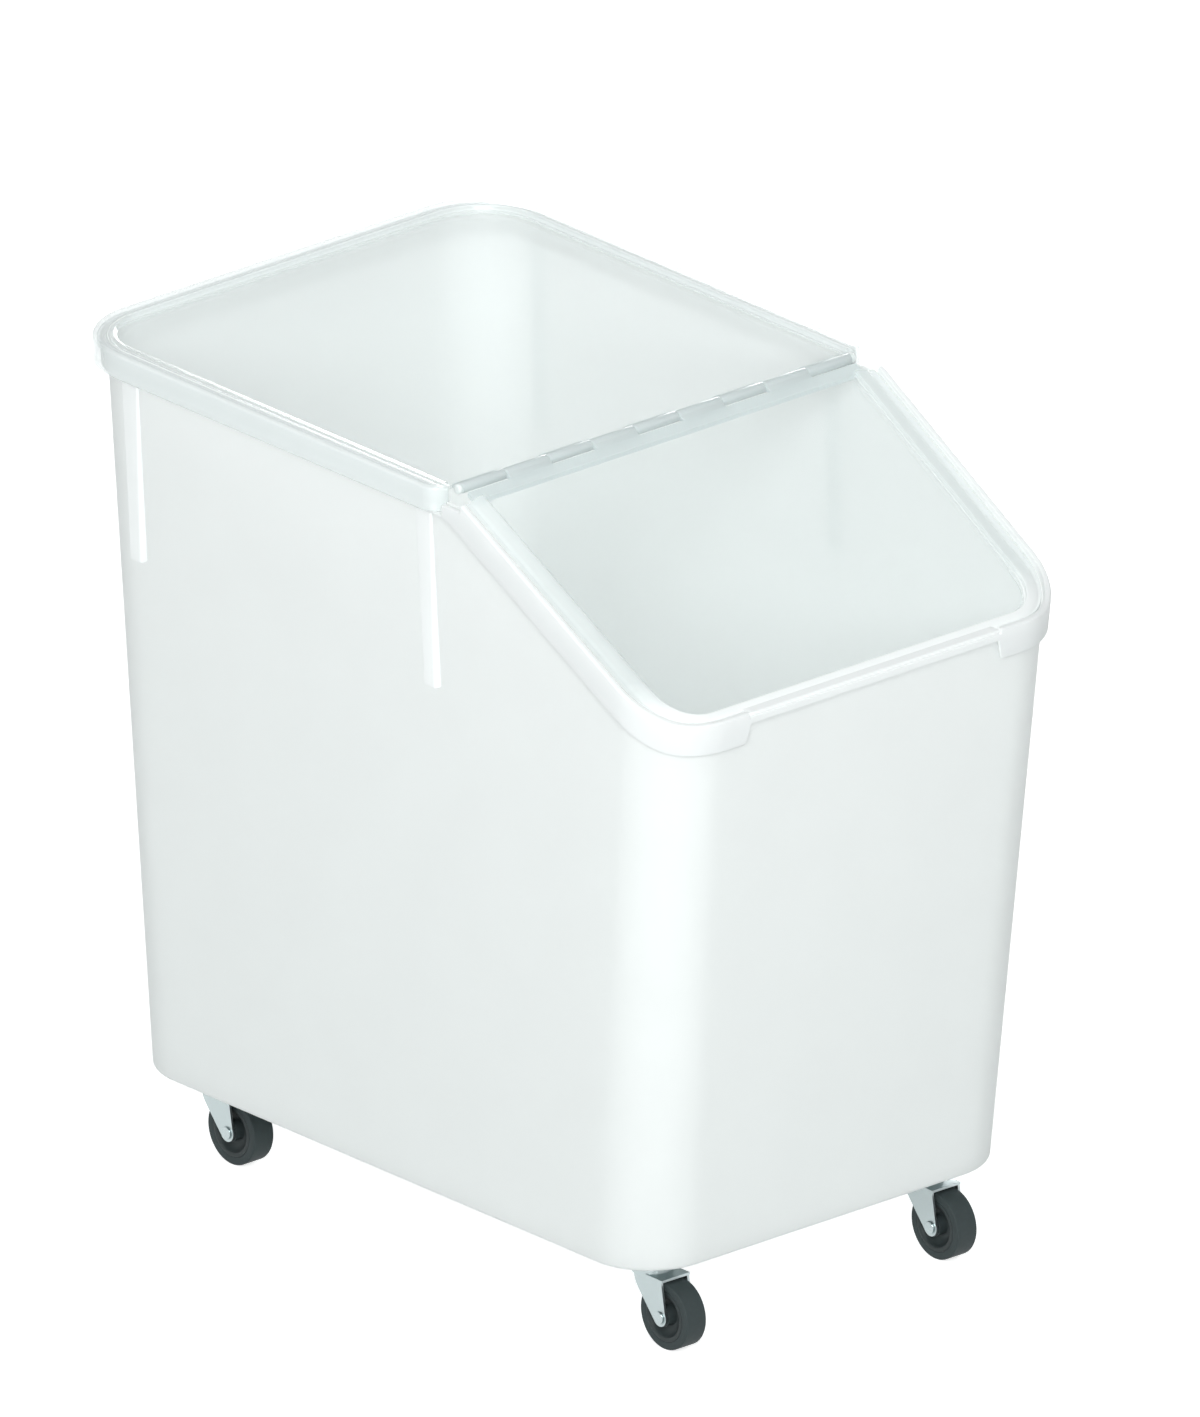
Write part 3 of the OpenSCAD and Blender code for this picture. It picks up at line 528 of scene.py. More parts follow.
def front_bend(rising, level):
    """Rounded maximum of two lines, where the slope meets the level front."""
    apart = rising - level
    rounded = (rising + level + np.sqrt(apart**2 + BEND_ROUND**2)) / 2
    return rounded - BEND_DIP * np.exp(-((apart / BEND_REACH) ** 2))


class Bin:
    """Derived sizes of the bin in millimetres, from the settings and the CAD frame."""

    def __init__(self, context):
        for group in (context.scene.bin_tub, context.scene.bin_lids):
            for key, prop in group.bl_rna.properties.items():
                if prop.type == "FLOAT" and not prop.is_array:
                    factor = MM if prop.unit == "LENGTH" else 1
                    setattr(self, key, getattr(group, key) * factor)
        self.base_z, self.rim_z = TUB_LOW[2] * MM, TUB_HIGH[2] * MM
        self.rim_front = TUB_LOW[1] * MM
        self.crest = self.rim_front + self.crest_back
        lip_flat = self.rim_out + self.front_rail
        self.lip_z = self.rim_z - (self.crest_back - lip_flat) * math.tan(self.slope)
        run = math.tan(self.front_draft) * (self.lip_z - self.base_z)
        self.base_front = self.rim_front + self.rim_out + run
        self.base_rear = self.base_front + self.base_length
        self.lid_half, self.lid_rear, self.lid_z = (size * MM for size in CAD_BOX[1])
        self.lid_front = self.crest + LID_SETBACK
        self.seat = self.rise + self.sheet + LID_GAP
        self.pin_y = self.lid_front - PIN_SETBACK
        self.pin_z = self.lid_z - self.knuckle / 2
        self.strip_y = self.crest - STRIP_SETBACK
        self.hinge_half = self.half_width(self.rim_z) + self.rim_out - HINGE_INSET

    def half_width(self, z):
        """Half the tub's outside width at a height."""
        return self.base_width / 2 + math.tan(self.side_draft) * (z - self.base_z)

    def front(self, z):
        """Where the front wall's outside is at a height."""
        return self.base_front - math.tan(self.front_draft) * (z - self.base_z)

    def rear(self, z):
        """Where the rear wall's outside is at a height."""
        return self.base_rear + math.tan(self.rear_draft) * (z - self.base_z)

    def slope_line(self, y, depth):
        """Height at y of the slope's plane, moved down square to itself by depth."""
        fall = depth / math.cos(self.slope)
        return self.rim_z - fall + math.tan(self.slope) * (y - self.crest)

    def lid_line(self, y, depth):
        """Height of the front lid at y: level at the front, then rising along the slope."""
        return front_bend(self.slope_line(y, depth), self.lip_z - depth)

    def rim_line(self, y, level, depth, front):
        """Height of one of the rim's lines at y.

        It is level at the front, rises along the slope, and turns over the crest on an arc
        to the level rear."""
        radius = self.crest_radius
        turn_y = self.crest + (level - self.slope_line(self.crest, depth)) / math.tan(self.slope)
        turn_y += radius * math.tan(self.slope / 2)
        arc = level - radius + np.sqrt(np.maximum(radius**2 - (y - turn_y) ** 2, 0))
        on_arc = y > turn_y - radius * math.sin(self.slope)
        z = np.where(on_arc, arc, self.slope_line(y, depth))
        return front_bend(np.where(y > turn_y, level, z), front)


def tub_columns(b):
    """Columns round the tub's plan: the stretch each lies on, its place there, and its ends.

    Stretches are outline()'s. Places on the sides are y and places on the front are x; the
    third number goes from 0 at a straight's last place to 1 or -1 at the corner after it."""
    crest = np.arange(b.crest - 14, b.crest + 30, 0.6)
    ahead, behind = np.linspace(-200, b.crest - 15, 16), np.linspace(b.crest + 31, 225, 40)
    side = np.concatenate([ahead, crest, behind])
    corner = np.linspace(0, 1, 25)[1:-1]
    grip = np.concatenate([np.linspace(0, 108, 14), np.linspace(112, 126, 24)])
    front = np.concatenate([-grip[::-1], grip[1:]])
    ends = np.array([1.0, 0.5])
    stretches = (
        (0, -200, -ends), (0, side, 0), (0, 225, ends[::-1]), (1, corner, 0),
        (2, np.linspace(1, -1, 9), 0), (3, corner, 0),
        (4, 225, ends), (4, side[::-1], 0), (4, -200, -ends[::-1]), (5, corner, 0),
        (6, -126, -ends), (6, front, 0), (6, 126, ends[::-1]), (7, corner, 0),
    )
    return np.concatenate([np.stack(np.broadcast_arrays(*s)) for s in stretches], 1)


def tub_plan(b, columns, z, out):
    """Point of each column on the tub's level outline at height z, grown outwards by out."""
    kind, place, past = columns
    half, y0, y1 = b.half_width(z) + out, b.front(z) - out, b.rear(z) + out
    r = np.maximum(b.corner + out, 0.5)
    side_y = place + np.where(past < 0, -past * (y0 + r - place), past * (y1 - r - place))
    front_x = place + past * (half - r - np.abs(place))
    return outline(kind, place, half, (y0, y1), (r, r), side_y, front_x)


def tub_profile(b):
    """Rows of the tub's profile, from under the base over the rim to the floor inside.

    Each row names the line that it follows, how far it stands out from the wall (along the
    sloping front and along the level rear where they differ), and how far it lies above
    that line, or on the walls its share of the way up."""
    rows = [("fixed", -BASE_RADIUS * s, b.base_z + BASE_RADIUS * c) for c, s in quarter(6)]
    shares = (0.02, 0.06, 0.15, 0.3, 0.45, 0.6, 0.75, 0.88, 0.95, 0.98)
    rows += [("wall_out", 0, part) for part in shares]
    rows += [("web", 0, -1), ("web", 0.6, 0), ("web", 2.2, 0)]
    rows += [("skirt", 2.6, 1), ("skirt", 2.9, 0.3), ("skirt", 3.4, 0), ("skirt", 4.3, 0)]
    rows += [("skirt", 4.8, 0.4), ("skirt", 5, 1.2)]
    rows += [("skirt_top", 5, part) for part in (0.25, 0.5, 0.75)]
    rows += [("top", (5 - 2.2 * c, 5 - 2.4 * c), -2.2 * s) for c, s in quarter(7)]
    rows += [("top", (0.9, 1.5), 0), ("top", (0.35, 0.8), -0.15), ("top", (0, 0.2), -0.8)]
    rows += [("seat", (0, -0.6), 1), ("seat", (-0.4, -1.2), 0.2), ("seat", (-1.2, -1.8), 0)]
    rows += [("seat", -2.4, 0), ("seat", (-2.9, -2.8), -0.2), ("seat", -3.2, -1)]
    shares = (0.98, 0.9, 0.75, 0.6, 0.45, 0.3, 0.15, 0.05)
    rows += [("wall_in", -b.wall, part) for part in shares]
    inside = b.base_z + b.floor
    for c, s in quarter(9)[::-1]:
        rows.append(("fixed", -b.wall - FLOOR_RADIUS * s, inside + FLOOR_RADIUS * c))
    return rows


class OBJECT_OT_bin_tub(bpy.types.Operator):
    """Builds the tub: base, drafted walls, rolled rim, notches and finger grip."""

    bl_idname = "object.bin_tub"
    bl_label = "Tub"
    bl_options = {"REGISTER", "UNDO"}

    def execute(self, context):
        """The tub is one closed surface: the profile's rows, carried round the plan's columns.

        A point's height follows the rim's lines at its own y, and its y follows the draft
        of the walls at its own height, so both are worked out together in a few rounds."""
        b = Bin(context)
        columns = tub_columns(b)
        count = columns.shape[1]
        rings = []
        for line, stand, value in tub_profile(b):
            on_slope, on_level = np.broadcast_to(stand, 2)
            z, out = np.full(count, b.rim_z * 0.8), np.full(count, float(on_level))
            for _ in range(6):
                x, y = tub_plan(b, columns, z, out)
                level = smooth_step(y, b.strip_y - 2.5, b.strip_y + 0.5)
                out = on_slope + (on_level - on_slope) * level
                z = self.height(b, line, value, x, y, level)
            rings.append(stacked(x, y, z))
        poles = [(0, 0, b.base_z), (0, 0, b.base_z + b.floor)]
        obj = ring_object("tub_shell", np.array(rings), poles)
        self.mark_thickness(obj.data, b)
        plastic = polyethylene("polyethylene_moulded", context.scene.bin_tub)
        put(obj, "tub", plastic, ["tub"])
        return {"FINISHED"}

    @staticmethod
    def height(b, line, value, x, y, level):
        """Height of a row at its points, with the notches, the slots and the finger grip."""
        if line == "fixed":
            return np.full(x.shape, float(value))
        grip_end, far = -b.grip_width / 2, -np.abs(x)
        grip = smooth_step(far, grip_end - 2.2, grip_end + 2.2)
        dip = smooth_step(far, grip_end - 0.4, grip_end + 0.4) * (y < b.rim_front + 40)
        at_ends = smooth_step(-far, b.hinge_half - 0.3, b.hinge_half + 0.3) > 0
        slot_y, notch_end = b.lid_front - 1.1, b.lid_front + 7.8
        before_end = 1 - smooth_step(y, notch_end, notch_end + 1)
        notch = smooth_step(y, b.crest - 9.5, b.crest - 5) * before_end
        slot = smooth_step(y, slot_y - 0.4, slot_y + 0.4) * before_end
        cut = b.rim_z - (b.notch_drop * notch + (b.slot_drop - b.notch_drop) * slot)
        uncut = b.rim_z + 50
        top = b.rim_line(y, b.rim_z, 0, b.lip_z - LIP_DIP * dip)
        top = np.minimum(top, np.where((notch > 0) & at_ends, cut, uncut))
        seat = b.rim_line(y, b.rim_z, b.seat, b.lip_z - b.seat)
        seat = np.minimum(seat + (top - seat) * level, top)
        skirt = b.lip_z - b.tab_drop + (b.tab_drop - b.grip_drop) * grip
        low = b.rim_line(y, b.rim_z - b.rim_drop, b.slope_drop, skirt)
        under = b.seat + WEB
        web = b.rim_line(y, b.rim_z - WEB, under, b.lip_z - under)
        web = np.maximum(np.minimum(web, top - 2.5), low + 1.5)
        if line == "top":
            return top + value * np.where(top < b.rim_z - 2, 0.8, 1)
        if line == "seat":
            return seat + value
        if line == "skirt":
            return low + value
        if line == "skirt_top":
            return low + 1.2 + (top - 2.2 - low - 1.2) * value
        if line == "web":
            return web + value
        if line == "wall_in":
            foot, head = b.base_z + b.floor + FLOOR_RADIUS, seat - 1.5
        else:
            foot, head = b.base_z + BASE_RADIUS, web - 1.5
        return foot + (head - foot) * value

    @staticmethod
    def mark_thickness(mesh, b):
        """Point value 'thick': 1 at the rim, where the moulding is doubled, and 0 on the walls."""
        x, y, z = points_of(mesh)
        out = distance_outside(x, y, b.half_width(z), b.front(z), b.rear(z), b.corner)
        mark(mesh, "thick", smooth_step(out, 0.3, 2.0))


class OBJECT_OT_bin_ribs(bpy.types.Operator):
    """Builds the four nesting ribs on the tub's sides."""

    bl_idname = "object.bin_ribs"
    bl_label = "Nesting ribs"
    bl_options = {"REGISTER", "UNDO"}

    def execute(self, context):
        """Each rib is a rounded rectangle carried up from its foot to the rim's web.

        Its outer face stands upright while the wall leans out, so it grows proud towards
        its foot; its width and its lean change evenly with height. It casts no shadow,
        because on a translucent wall that would draw a dark streak."""
        b = Bin(context)
        plastic = polyethylene("polyethylene_moulded", context.scene.bin_tub)
        foot_z, head_z = b.base_z + b.rib_drop, b.rim_z - 3.4
        part = np.concatenate([[0.0, 0.001, 0.004, 0.008], np.linspace(0.02, 1, 12)])[:, None]
        drawn = np.array([1.6, 0.9, 0.3, 0.05] + [0.0] * 12)[:, None]
        rise = part * (head_z - foot_z)
        z = foot_z + rise
        half = (b.rib_foot + (b.rib_top - b.rib_foot) * part) / 2 - drawn * 0.7
        outer = b.half_width(b.rim_z) + RIB_PROUD - drawn
        inner = b.half_width(z) - RIB_SUNK
        r = np.minimum(RIB_EDGE, (outer - inner) / 2)
        bend = np.radians(np.linspace(0, 90, 7))
        x = outer - r * (1 - np.concatenate([np.sin(bend), np.sin(bend[::-1])]))
        x = np.concatenate([inner, x, inner], 1)
        along = np.repeat([-1, 1], 7) * (half - r)
        along = along + np.concatenate([-np.cos(bend), np.cos(bend[::-1])]) * r
        along = np.concatenate([along[:, :1], along, along[:, -1:]], 1)
        lean = math.tan(math.radians(RIB_LEAN)) * rise
        front_y = b.crest + RIB_SETBACK
        for side, side_name in ((-1, "left"), (1, "right")):
            for foot_y, end_name in ((front_y, "front"), (front_y + RIB_PITCH, "rear")):
                y = foot_y + lean + along
                rings = stacked(side * x, y, z)
                name = f"nesting_rib_{side_name}_{end_name}"
                obj = ring_object(name, rings, smooth_angle=40)
                mark(obj.data, "thick", np.ones(len(obj.data.vertices)))
                put(obj, "tub", plastic)
                obj.visible_shadow = False
                obj.visible_diffuse = False
        return {"FINISHED"}


def mark_borders(obj, inner, haze):
    """Point value 'milky': 0 on a lid's panel and haze(y) on the folds and skirts round it.

    inner(y) gives the half-width, front, rear and corner radius of the panel's outline; the
    value comes from the distance to that rounded rectangle."""
    x, y, _ = points_of(obj.data)
    out = distance_outside(x, y, *inner(y))
    mark(obj.data, "milky", haze(y) * smooth_step(out, -2.2, 0.4))


class OBJECT_OT_bin_rear_lid(bpy.types.Operator):
    """Builds the clear rear lid: its sunk panel, raised border, skirt and turned-in ends."""

    bl_idname = "object.bin_rear_lid"
    bl_label = "Rear lid"
    bl_options = {"REGISTER", "UNDO"}

    def execute(self, context):
        """The lid is one closed surface: a profile carried round a rounded rectangle.

        Each row of the profile has its inset from the outline and its height; the front ends
        in the panel's edge, at its upper or lower face, and the corners carry the profile
        round to the skirt's turned-in ends."""
        b = Bin(context)
        upper, lower = self.profile(b)
        kind, place = lid_columns()
        face, leaf_y = b.lid_z - b.sink, b.pin_y + LEAF_REACH
        rings = []
        for rows, face_z in ((upper, face), (lower, face - b.sheet)):
            for inset, z in rows:
                half, r0 = b.lid_half - inset, max(b.front_corner - inset, 0.8)
                r1 = max(b.corner + LID_GROWTH - inset, 1)
                y0, y1 = b.lid_front + min(inset, 4.7), b.lid_rear - inset
                side_y = y0 + r0 + place * (y1 - r1 - y0 - r0)
                front_x = place * (half - r0 - 0.01)
                x, y = outline(kind, place, half, (y0, y1), (r0, r1), side_y, front_x)
                front = (kind == 6) & (np.abs(place) < 0.999)
                reach = min(half - r0, b.lid_half - b.border)
                x = np.where(front, np.clip(place * reach / 0.92, -reach, reach), x)
                y, z = np.where(front, leaf_y, y), np.where(front, face_z, z)
                rings.append(stacked(x, y, z))
        middle = np.array([0, 0.5 * (leaf_y + b.lid_rear), face])
        under = middle - (0, 0, b.sheet)
        shares = (0.1, 0.4, 0.7, 0.9, 0.97)
        above, below = shrunk(rings[0], middle, shares), shrunk(rings[-1], under, shares[::-1])
        rings = np.concatenate([above, rings, below])
        obj = ring_object("rear_lid_moulding", rings, [middle, under], 40)
        inset = b.border + EDGE_BAND
        radius = b.corner + LID_GROWTH - inset
        panel = (b.lid_half - inset, -1000.0, b.lid_rear - inset, radius)
        mark_borders(obj, lambda y: panel, lambda y: b.border_haze)
        plastic = clear_plastic("clear_plastic_moulded", context.scene.bin_lids)
        put(obj, "rear_lid", plastic, ["rear_lid"])
        return {"FINISHED"}

    @staticmethod
    def profile(b):
        """Inset and height of the rows: over the border and down the skirt, then up inside it."""
        top, face, under = b.lid_z, b.lid_z - b.sink, b.lid_z - b.sheet
        low, w, e = b.lid_z - b.skirt, b.border, b.edge
        upper = [(w + 3.2, face), (w + 0.9, face), (w + 0.25, face + 0.3), (w - 0.2, face + 1.2)]
        upper += [(w - 0.6, top - 1.2), (w - 1.1, top - 0.35), (w - 2.0, top), ((w + e) / 2, top)]
        upper += [(e * c, top - e * s) for c, s in quarter(8)[::-1]]
        upper += [(0, low + (top - e - low) * part) for part in (0.66, 0.33, 0.06)]
        upper += [(0.15, low + 0.35), (0.6, low)]
        lower = [(2.3, low), (2.8, low + 0.3), (3.0, low + 1)]
        lower += [(3.0, low + (under - 1.2 - low) * part) for part in (0.4, 0.7, 1.0)]
        lower += [(3.4, under - 0.3), (4.4, under), (w - 4.2, under), (w - 3.3, under - 0.3)]
        lower += [(w - 3, under - 1.2), (w - 2.9, face - 2.6)]
        lower += [(w - 2.2, face - 3), (w + 1, face - 3)]
        return upper, lower


class OBJECT_OT_bin_front_lid(bpy.types.Operator):
    """Builds the clear sloping front lid: edge strip, raised border, panel and finger lip."""

    bl_idname = "object.bin_front_lid"
    bl_label = "Front lid"
    bl_options = {"REGISTER", "UNDO"}

    def execute(self, context):
        """The lid is one closed surface: a profile carried round its outline.

        Each row has an inset at the sides, one at the front and a depth below the slope's
        line; a point's height is the lid's line at its own y, moved down by that depth. At
        the rear the border's depth falls to the panel's."""
        b = Bin(context)
        flat, deep = b.rise, b.rise + b.sheet
        kind, place = lid_columns()
        at_rear = (kind > 0) & (kind < 4)
        rings = []
        for side_in, front_in, depth, rear_depth in self.profile(b):
            half = b.half_width(b.lip_z) - SIDE_PLAY - side_in
            wide = b.half_width(b.rim_z) - SIDE_PLAY - side_in
            y0, r = b.rim_front + FRONT_INSET + front_in, max(FRONT_RADIUS - side_in, 2)
            y1 = b.strip_y - min(side_in, 0.6)
            side_y, front_x = y0 + r + place * (y1 - y0 - r), place * (half - r)
            rest = (y0, y1), (r, 0), side_y, front_x
            y = outline(kind, place, half, *rest)[1]
            half = np.interp(y, (y0 + r, b.crest), (half, wide))
            x, y = outline(kind, place, half, *rest)
            z = b.lid_line(y, np.where(at_rear, rear_depth, depth))
            rings.append(stacked(x, y, z))
        middle_y = -200.0
        middle, under = ((0, middle_y, b.lid_line(middle_y, depth)) for depth in (flat, deep))
        shares = (0.1, 0.3, 0.5, 0.7, 0.85, 0.93, 0.97, 0.99)
        upper, lower = shrunk(rings[0], middle, shares), shrunk(rings[-1], under, shares[::-1])
        upper[..., 2] = b.lid_line(upper[..., 1], flat)
        lower[..., 2] = b.lid_line(lower[..., 1], deep)
        rings = np.concatenate([upper, rings, lower])
        obj = ring_object("front_lid_moulding", rings, [middle, under], 40)

        inset = b.strip + b.rail
        widths = [b.half_width(z) - SIDE_PLAY - inset - EDGE_BAND for z in (b.lip_z, b.rim_z)]
        front = b.rim_front + FRONT_INSET + b.front_rail
        bend_y = front + FRONT_RADIUS - inset
        haze_span = b.lip_haze - b.border_haze

        def inner(y):
            half = np.interp(y, (bend_y, b.crest), widths)
            return half, front + EDGE_BAND, 1000.0, FRONT_RADIUS - inset

        def haze(y):
            ahead = smooth_step(-y, -b.rim_front - 60, -b.rim_front - 16)
            return b.border_haze + haze_span * ahead

        mark_borders(obj, inner, haze)
        plastic = clear_plastic("clear_plastic_moulded", context.scene.bin_lids)
        put(obj, "front_lid", plastic, ["front_lid"])
        lip = self.lip(b)
        mark_borders(lip, lambda y: (0.0, 0.0, 0.0, 0.0), lambda y: b.lip_haze)
        put(lip, "front_lid", plastic)
        return {"FINISHED"}

    @staticmethod
    def profile(b):
        """Insets at the side and front, and depths along the border and at the rear, by row."""
        flat, deep = b.rise, b.rise + b.sheet
        s, f, t = b.strip + b.rail, b.front_rail, b.strip
        return [
            (s + 3, f + 3, flat, flat), (s + 0.8, f + 0.8, flat, flat),
            (s + 0.2, f + 0.2, flat - 0.3, flat), (s - 0.1, f - 0.1, flat - 1.1, flat),
            (s - 0.3, f - 0.3, 0.9, flat), (s - 0.7, f - 0.6, 0.25, flat),
            (s - 1.4, f - 1.2, 0.05, flat), (s - 3.5, f - 2.2, 0.35, flat),
            (t + 5.5, 2.6, 1.1, flat), (t + 3.2, 1.6, 1.7, flat), (t + 1.4, 0.8, 2.3, flat),
            (t + 0.3, 0.4, flat - 0.25, flat), (t - 0.7, 0.12, flat, flat),
            (0.9, 0.08, flat, flat), (0.3, 0.05, flat + 0.25, flat + 0.25),
            (0, 0, flat + 0.8, flat + 0.8), (0, 0, deep - 0.6, deep - 0.6),
            (0.5, 0.3, deep, deep), (t + 2.6, 2.6, deep, deep), (t + 3, 3, deep - 0.6, deep),
            (t + 3.2, 3.2, 3.2, deep), (s - 3.4, f - 3.2, 3.2, deep), (s - 3, f - 3, 3.8, deep),
            (s - 2.8, f - 2.8, deep, deep), (s + 1, f + 1, deep, deep),
        ]

    @staticmethod
    def lip(b):
        """The finger lip: a rounded plate over the front of the rim, rolled down at its edge."""
        half, long, deep, r, r_low = b.grip_width / 2 - 0.5, 9.6, 3, 1.4, 0.4
        run = np.linspace(-half + 6, half - 6, 30)
        x = np.concatenate([[-half, 0.3 - half, 1.2 - half], run, [half - 1.2, half - 0.3, half]])
        drawn = np.array([1.0, 0.35, 0.0] + [0.0] * 30 + [0.0, 0.35, 1.0])[:, None]
        y0, z1 = b.rim_front + 1.0, b.lip_z
        a = np.radians(np.linspace(0, 90, 6))
        low = a[::2]
        y = [[y0 + long], y0 + r - r * np.sin(a), y0 + r_low - r_low * np.cos(low), [y0 + long]]
        z = [[z1], z1 - r + r * np.cos(a), z1 - deep + r_low - r_low * np.sin(low), [z1 - deep]]
        y, z = np.concatenate(y), np.concatenate(z)
        to_y, to_z = y0 + long / 2 - y, z1 - deep / 2 - z
        loose = np.abs(y - y0 - long) > 0.1
        y = y + np.sign(to_y) * np.minimum(drawn, np.abs(to_y)) * loose
        z = z + np.sign(to_z) * drawn
        return ring_object("finger_lip", stacked(x[:, None], y, z), smooth_angle=40)


class OBJECT_OT_bin_hinge(bpy.types.Operator):
    """Builds the hinge: both lids' knuckles with their leaves, and the pin's caps and finish."""

    bl_idname = "object.bin_hinge"
    bl_label = "Hinge"
    bl_options = {"REGISTER", "UNDO"}

    def execute(self, context):
        """Nine knuckles stand along the pin, the rear lid's and the front lid's by turns."""
        b = Bin(context)
        lids, count = context.scene.bin_lids, 9
        pitch = (2 * b.hinge_half + KNUCKLE_GAP) / count
        plastic = thick_plastic("clear_plastic_thick", lids)
        above_pin = (b.slope_line(b.pin_y, 0) - b.pin_z) * math.cos(b.slope)
        sorts = (
            ("rear_lid", 9.3, b.lid_z - b.sink - b.sheet - b.pin_z),
            ("front_lid", 9.8, above_pin - b.rise - b.sheet),
        )
        for i in range(count):
            x0 = -b.hinge_half + i * pitch
            body, reach, low = sorts[i % 2]
            ends = x0, x0 + pitch - KNUCKLE_GAP
            obj = self.knuckle(b, f"knuckle_{i + 1}", ends, reach, low, body == "front_lid")
            put(obj, body, plastic)
        put(self.leaf(b), "front_lid", plastic)
        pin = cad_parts["hinge_pin"].data
        pin.materials.clear()
        zinc = context.scene.bin_casters.zinc
        pin.materials.append(zinc_steel("pin_steel_drawn", zinc, 0.25))
        for side, name in ((-1, "left"), (1, "right")):
            put(self.cap(b, side, name), "rear_lid",
                cap_plastic("nylon_cap_moulded", lids), ["pin_caps"])
        return {"FINISHED"}

    @staticmethod
    def knuckle(b, name, ends, reach, low, front):
        """One knuckle: a round section with a flat tail, carried along the pin.

        The tail is as thick as the lid and its underside is at low from the pin; the front
        lid's is turned into the slope. The ends are drawn in by 0.35 mm."""
        r, (x0, x1) = b.knuckle / 2, ends
        top = low + b.sheet
        start, end = np.arcsin(np.clip([top / r, low / r], -1, 1))
        sweep = np.linspace(start, 2 * math.pi + end, 30)
        y = np.concatenate([r * np.cos(sweep), [reach, reach]])
        z = np.concatenate([r * np.sin(sweep), [low, top]])
        if front:
            c, s = math.cos(b.slope), math.sin(b.slope)
            y, z = -y * c - z * s, -y * s + z * c
        scale = 1 - np.array([0.35, 0.1, 0.0, 0.0, 0.1, 0.35])[:, None] / r
        y, z = b.pin_y + scale * y, b.pin_z + scale * z
        x = np.array([x0, x0 + 0.12, x0 + 0.45, x1 - 0.45, x1 - 0.12, x1])[:, None]
        poles = [(end, b.pin_y, b.pin_z) for end in ends]
        return ring_object(name, stacked(x, y, z), poles, 40)

    @staticmethod
    def leaf(b):
        """The front lid's leaf between its panel and its knuckles: a plate in the slope's plane."""
        y0, y1 = b.strip_y - 0.3, b.pin_y - 8.8 * math.cos(b.slope)
        half, flat, deep = b.hinge_half, b.rise, b.rise + b.sheet
        x = np.array([-half, -half + 0.3, half - 0.3, half])[:, None]
        y = np.array([y0, y1, y1, y0])
        z = b.lid_line(y, np.array([flat, flat, deep, deep]))
        return ring_object("front_hinge_leaf", stacked(x, y, z), smooth_angle=30)

    @staticmethod
    def cap(b, side, name):
        """A cap on the pin's end: a low rounded button, its profile turned about the pin."""
        x = np.array([0.1, 0.4, 2.3, 2.9, 3.3, 3.45, 3.5])[:, None]
        r = np.array([3.2, 3.7, 3.8, 3.55, 3.0, 2.0, 1.0])[:, None]
        x = side * (b.hinge_half + 0.6 + x)
        a = np.linspace(0, 2 * math.pi, 49)[:-1]
        y, z = b.pin_y + r * np.cos(a), b.pin_z + r * np.sin(a)
        poles = [(end, b.pin_y, b.pin_z) for end in (x[0, 0], x[-1, 0])]
        return ring_object(f"pin_cap_{name}", stacked(x, y, z), poles)


class OBJECT_OT_bin_steelwork(bpy.types.Operator):
    """Dresses the casters' pressed and turned steel: plates, screws, kingpins, forks and axles."""

    bl_idname = "object.bin_steelwork"
    bl_label = "Caster steelwork"
    bl_options = {"REGISTER", "UNDO"}

    def execute(self, context):
        """Each piece is a merged copy of its CAD solid, its edges rounded by a small bevel."""
        zinc = context.scene.bin_casters.zinc
        pressed = zinc_steel("zinc_plated_steel_pressed", zinc, 0.32)
        turned = zinc_steel("zinc_plated_steel_turned", zinc, 0.24)
        balls = zinc_steel("bearing_steel_ground", zinc, 0.16)
        bush = dark_plastic("acetal_bush_moulded", linear("#3A4042"), 0.3, 0.45, 0.8, 1.48)
        kinds = (
            ("plate", "tub", "caster_steel", pressed, 0.4),
            ("plate_screws", "tub", "bright_steel", turned, 0.3),
            ("fork", "caster_{}", "caster_steel", pressed, 0.5),
            ("axle_bolt", "caster_{}", "bright_steel", turned, 0.35),
            ("axle_nut", "caster_{}", "bright_steel", turned, 0.35),
            ("kingpin", "tub", "bright_steel", turned, 0.5),
        )
        for corner in CORNERS:
            for kind, body, slot, material, round_mm in kinds:
                node_name = f"{kind}_{corner}"
                obj = self.rounded(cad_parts[node_name].data, node_name, round_mm)
                put(obj, body.format(corner), material, [node_name])
            for kind, material in (("balls", balls), ("bush", bush)):
                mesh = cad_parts[f"{kind}_{corner}"].data
                mesh.materials.clear()
                mesh.materials.append(material)
        return {"FINISHED"}

    @staticmethod
    def rounded(source, name, round_mm):
        """A copy of a CAD solid's mesh with its flat faces merged and its edges rounded."""
        mesh = source.copy()
        mesh.name = f"{name}_round"
        build = bmesh.new()
        build.from_mesh(mesh)
        bmesh.ops.remove_doubles(build, verts=build.verts, dist=1e-5)
        flat = math.radians(1)
        bmesh.ops.dissolve_limit(build, angle_limit=flat, verts=build.verts, edges=build.edges)
        build.to_mesh(mesh)
        build.free()
        shade_smooth(mesh, 35)
        obj = new_object(mesh.name, mesh)
        bevel = obj.modifiers.new("rounded", "BEVEL")
        bevel.width = round_mm / MM
        bevel.segments = 2
        bevel.limit_method = "ANGLE"
        bevel.angle_limit = math.radians(40)
        bevel.harden_normals = True
        return obj


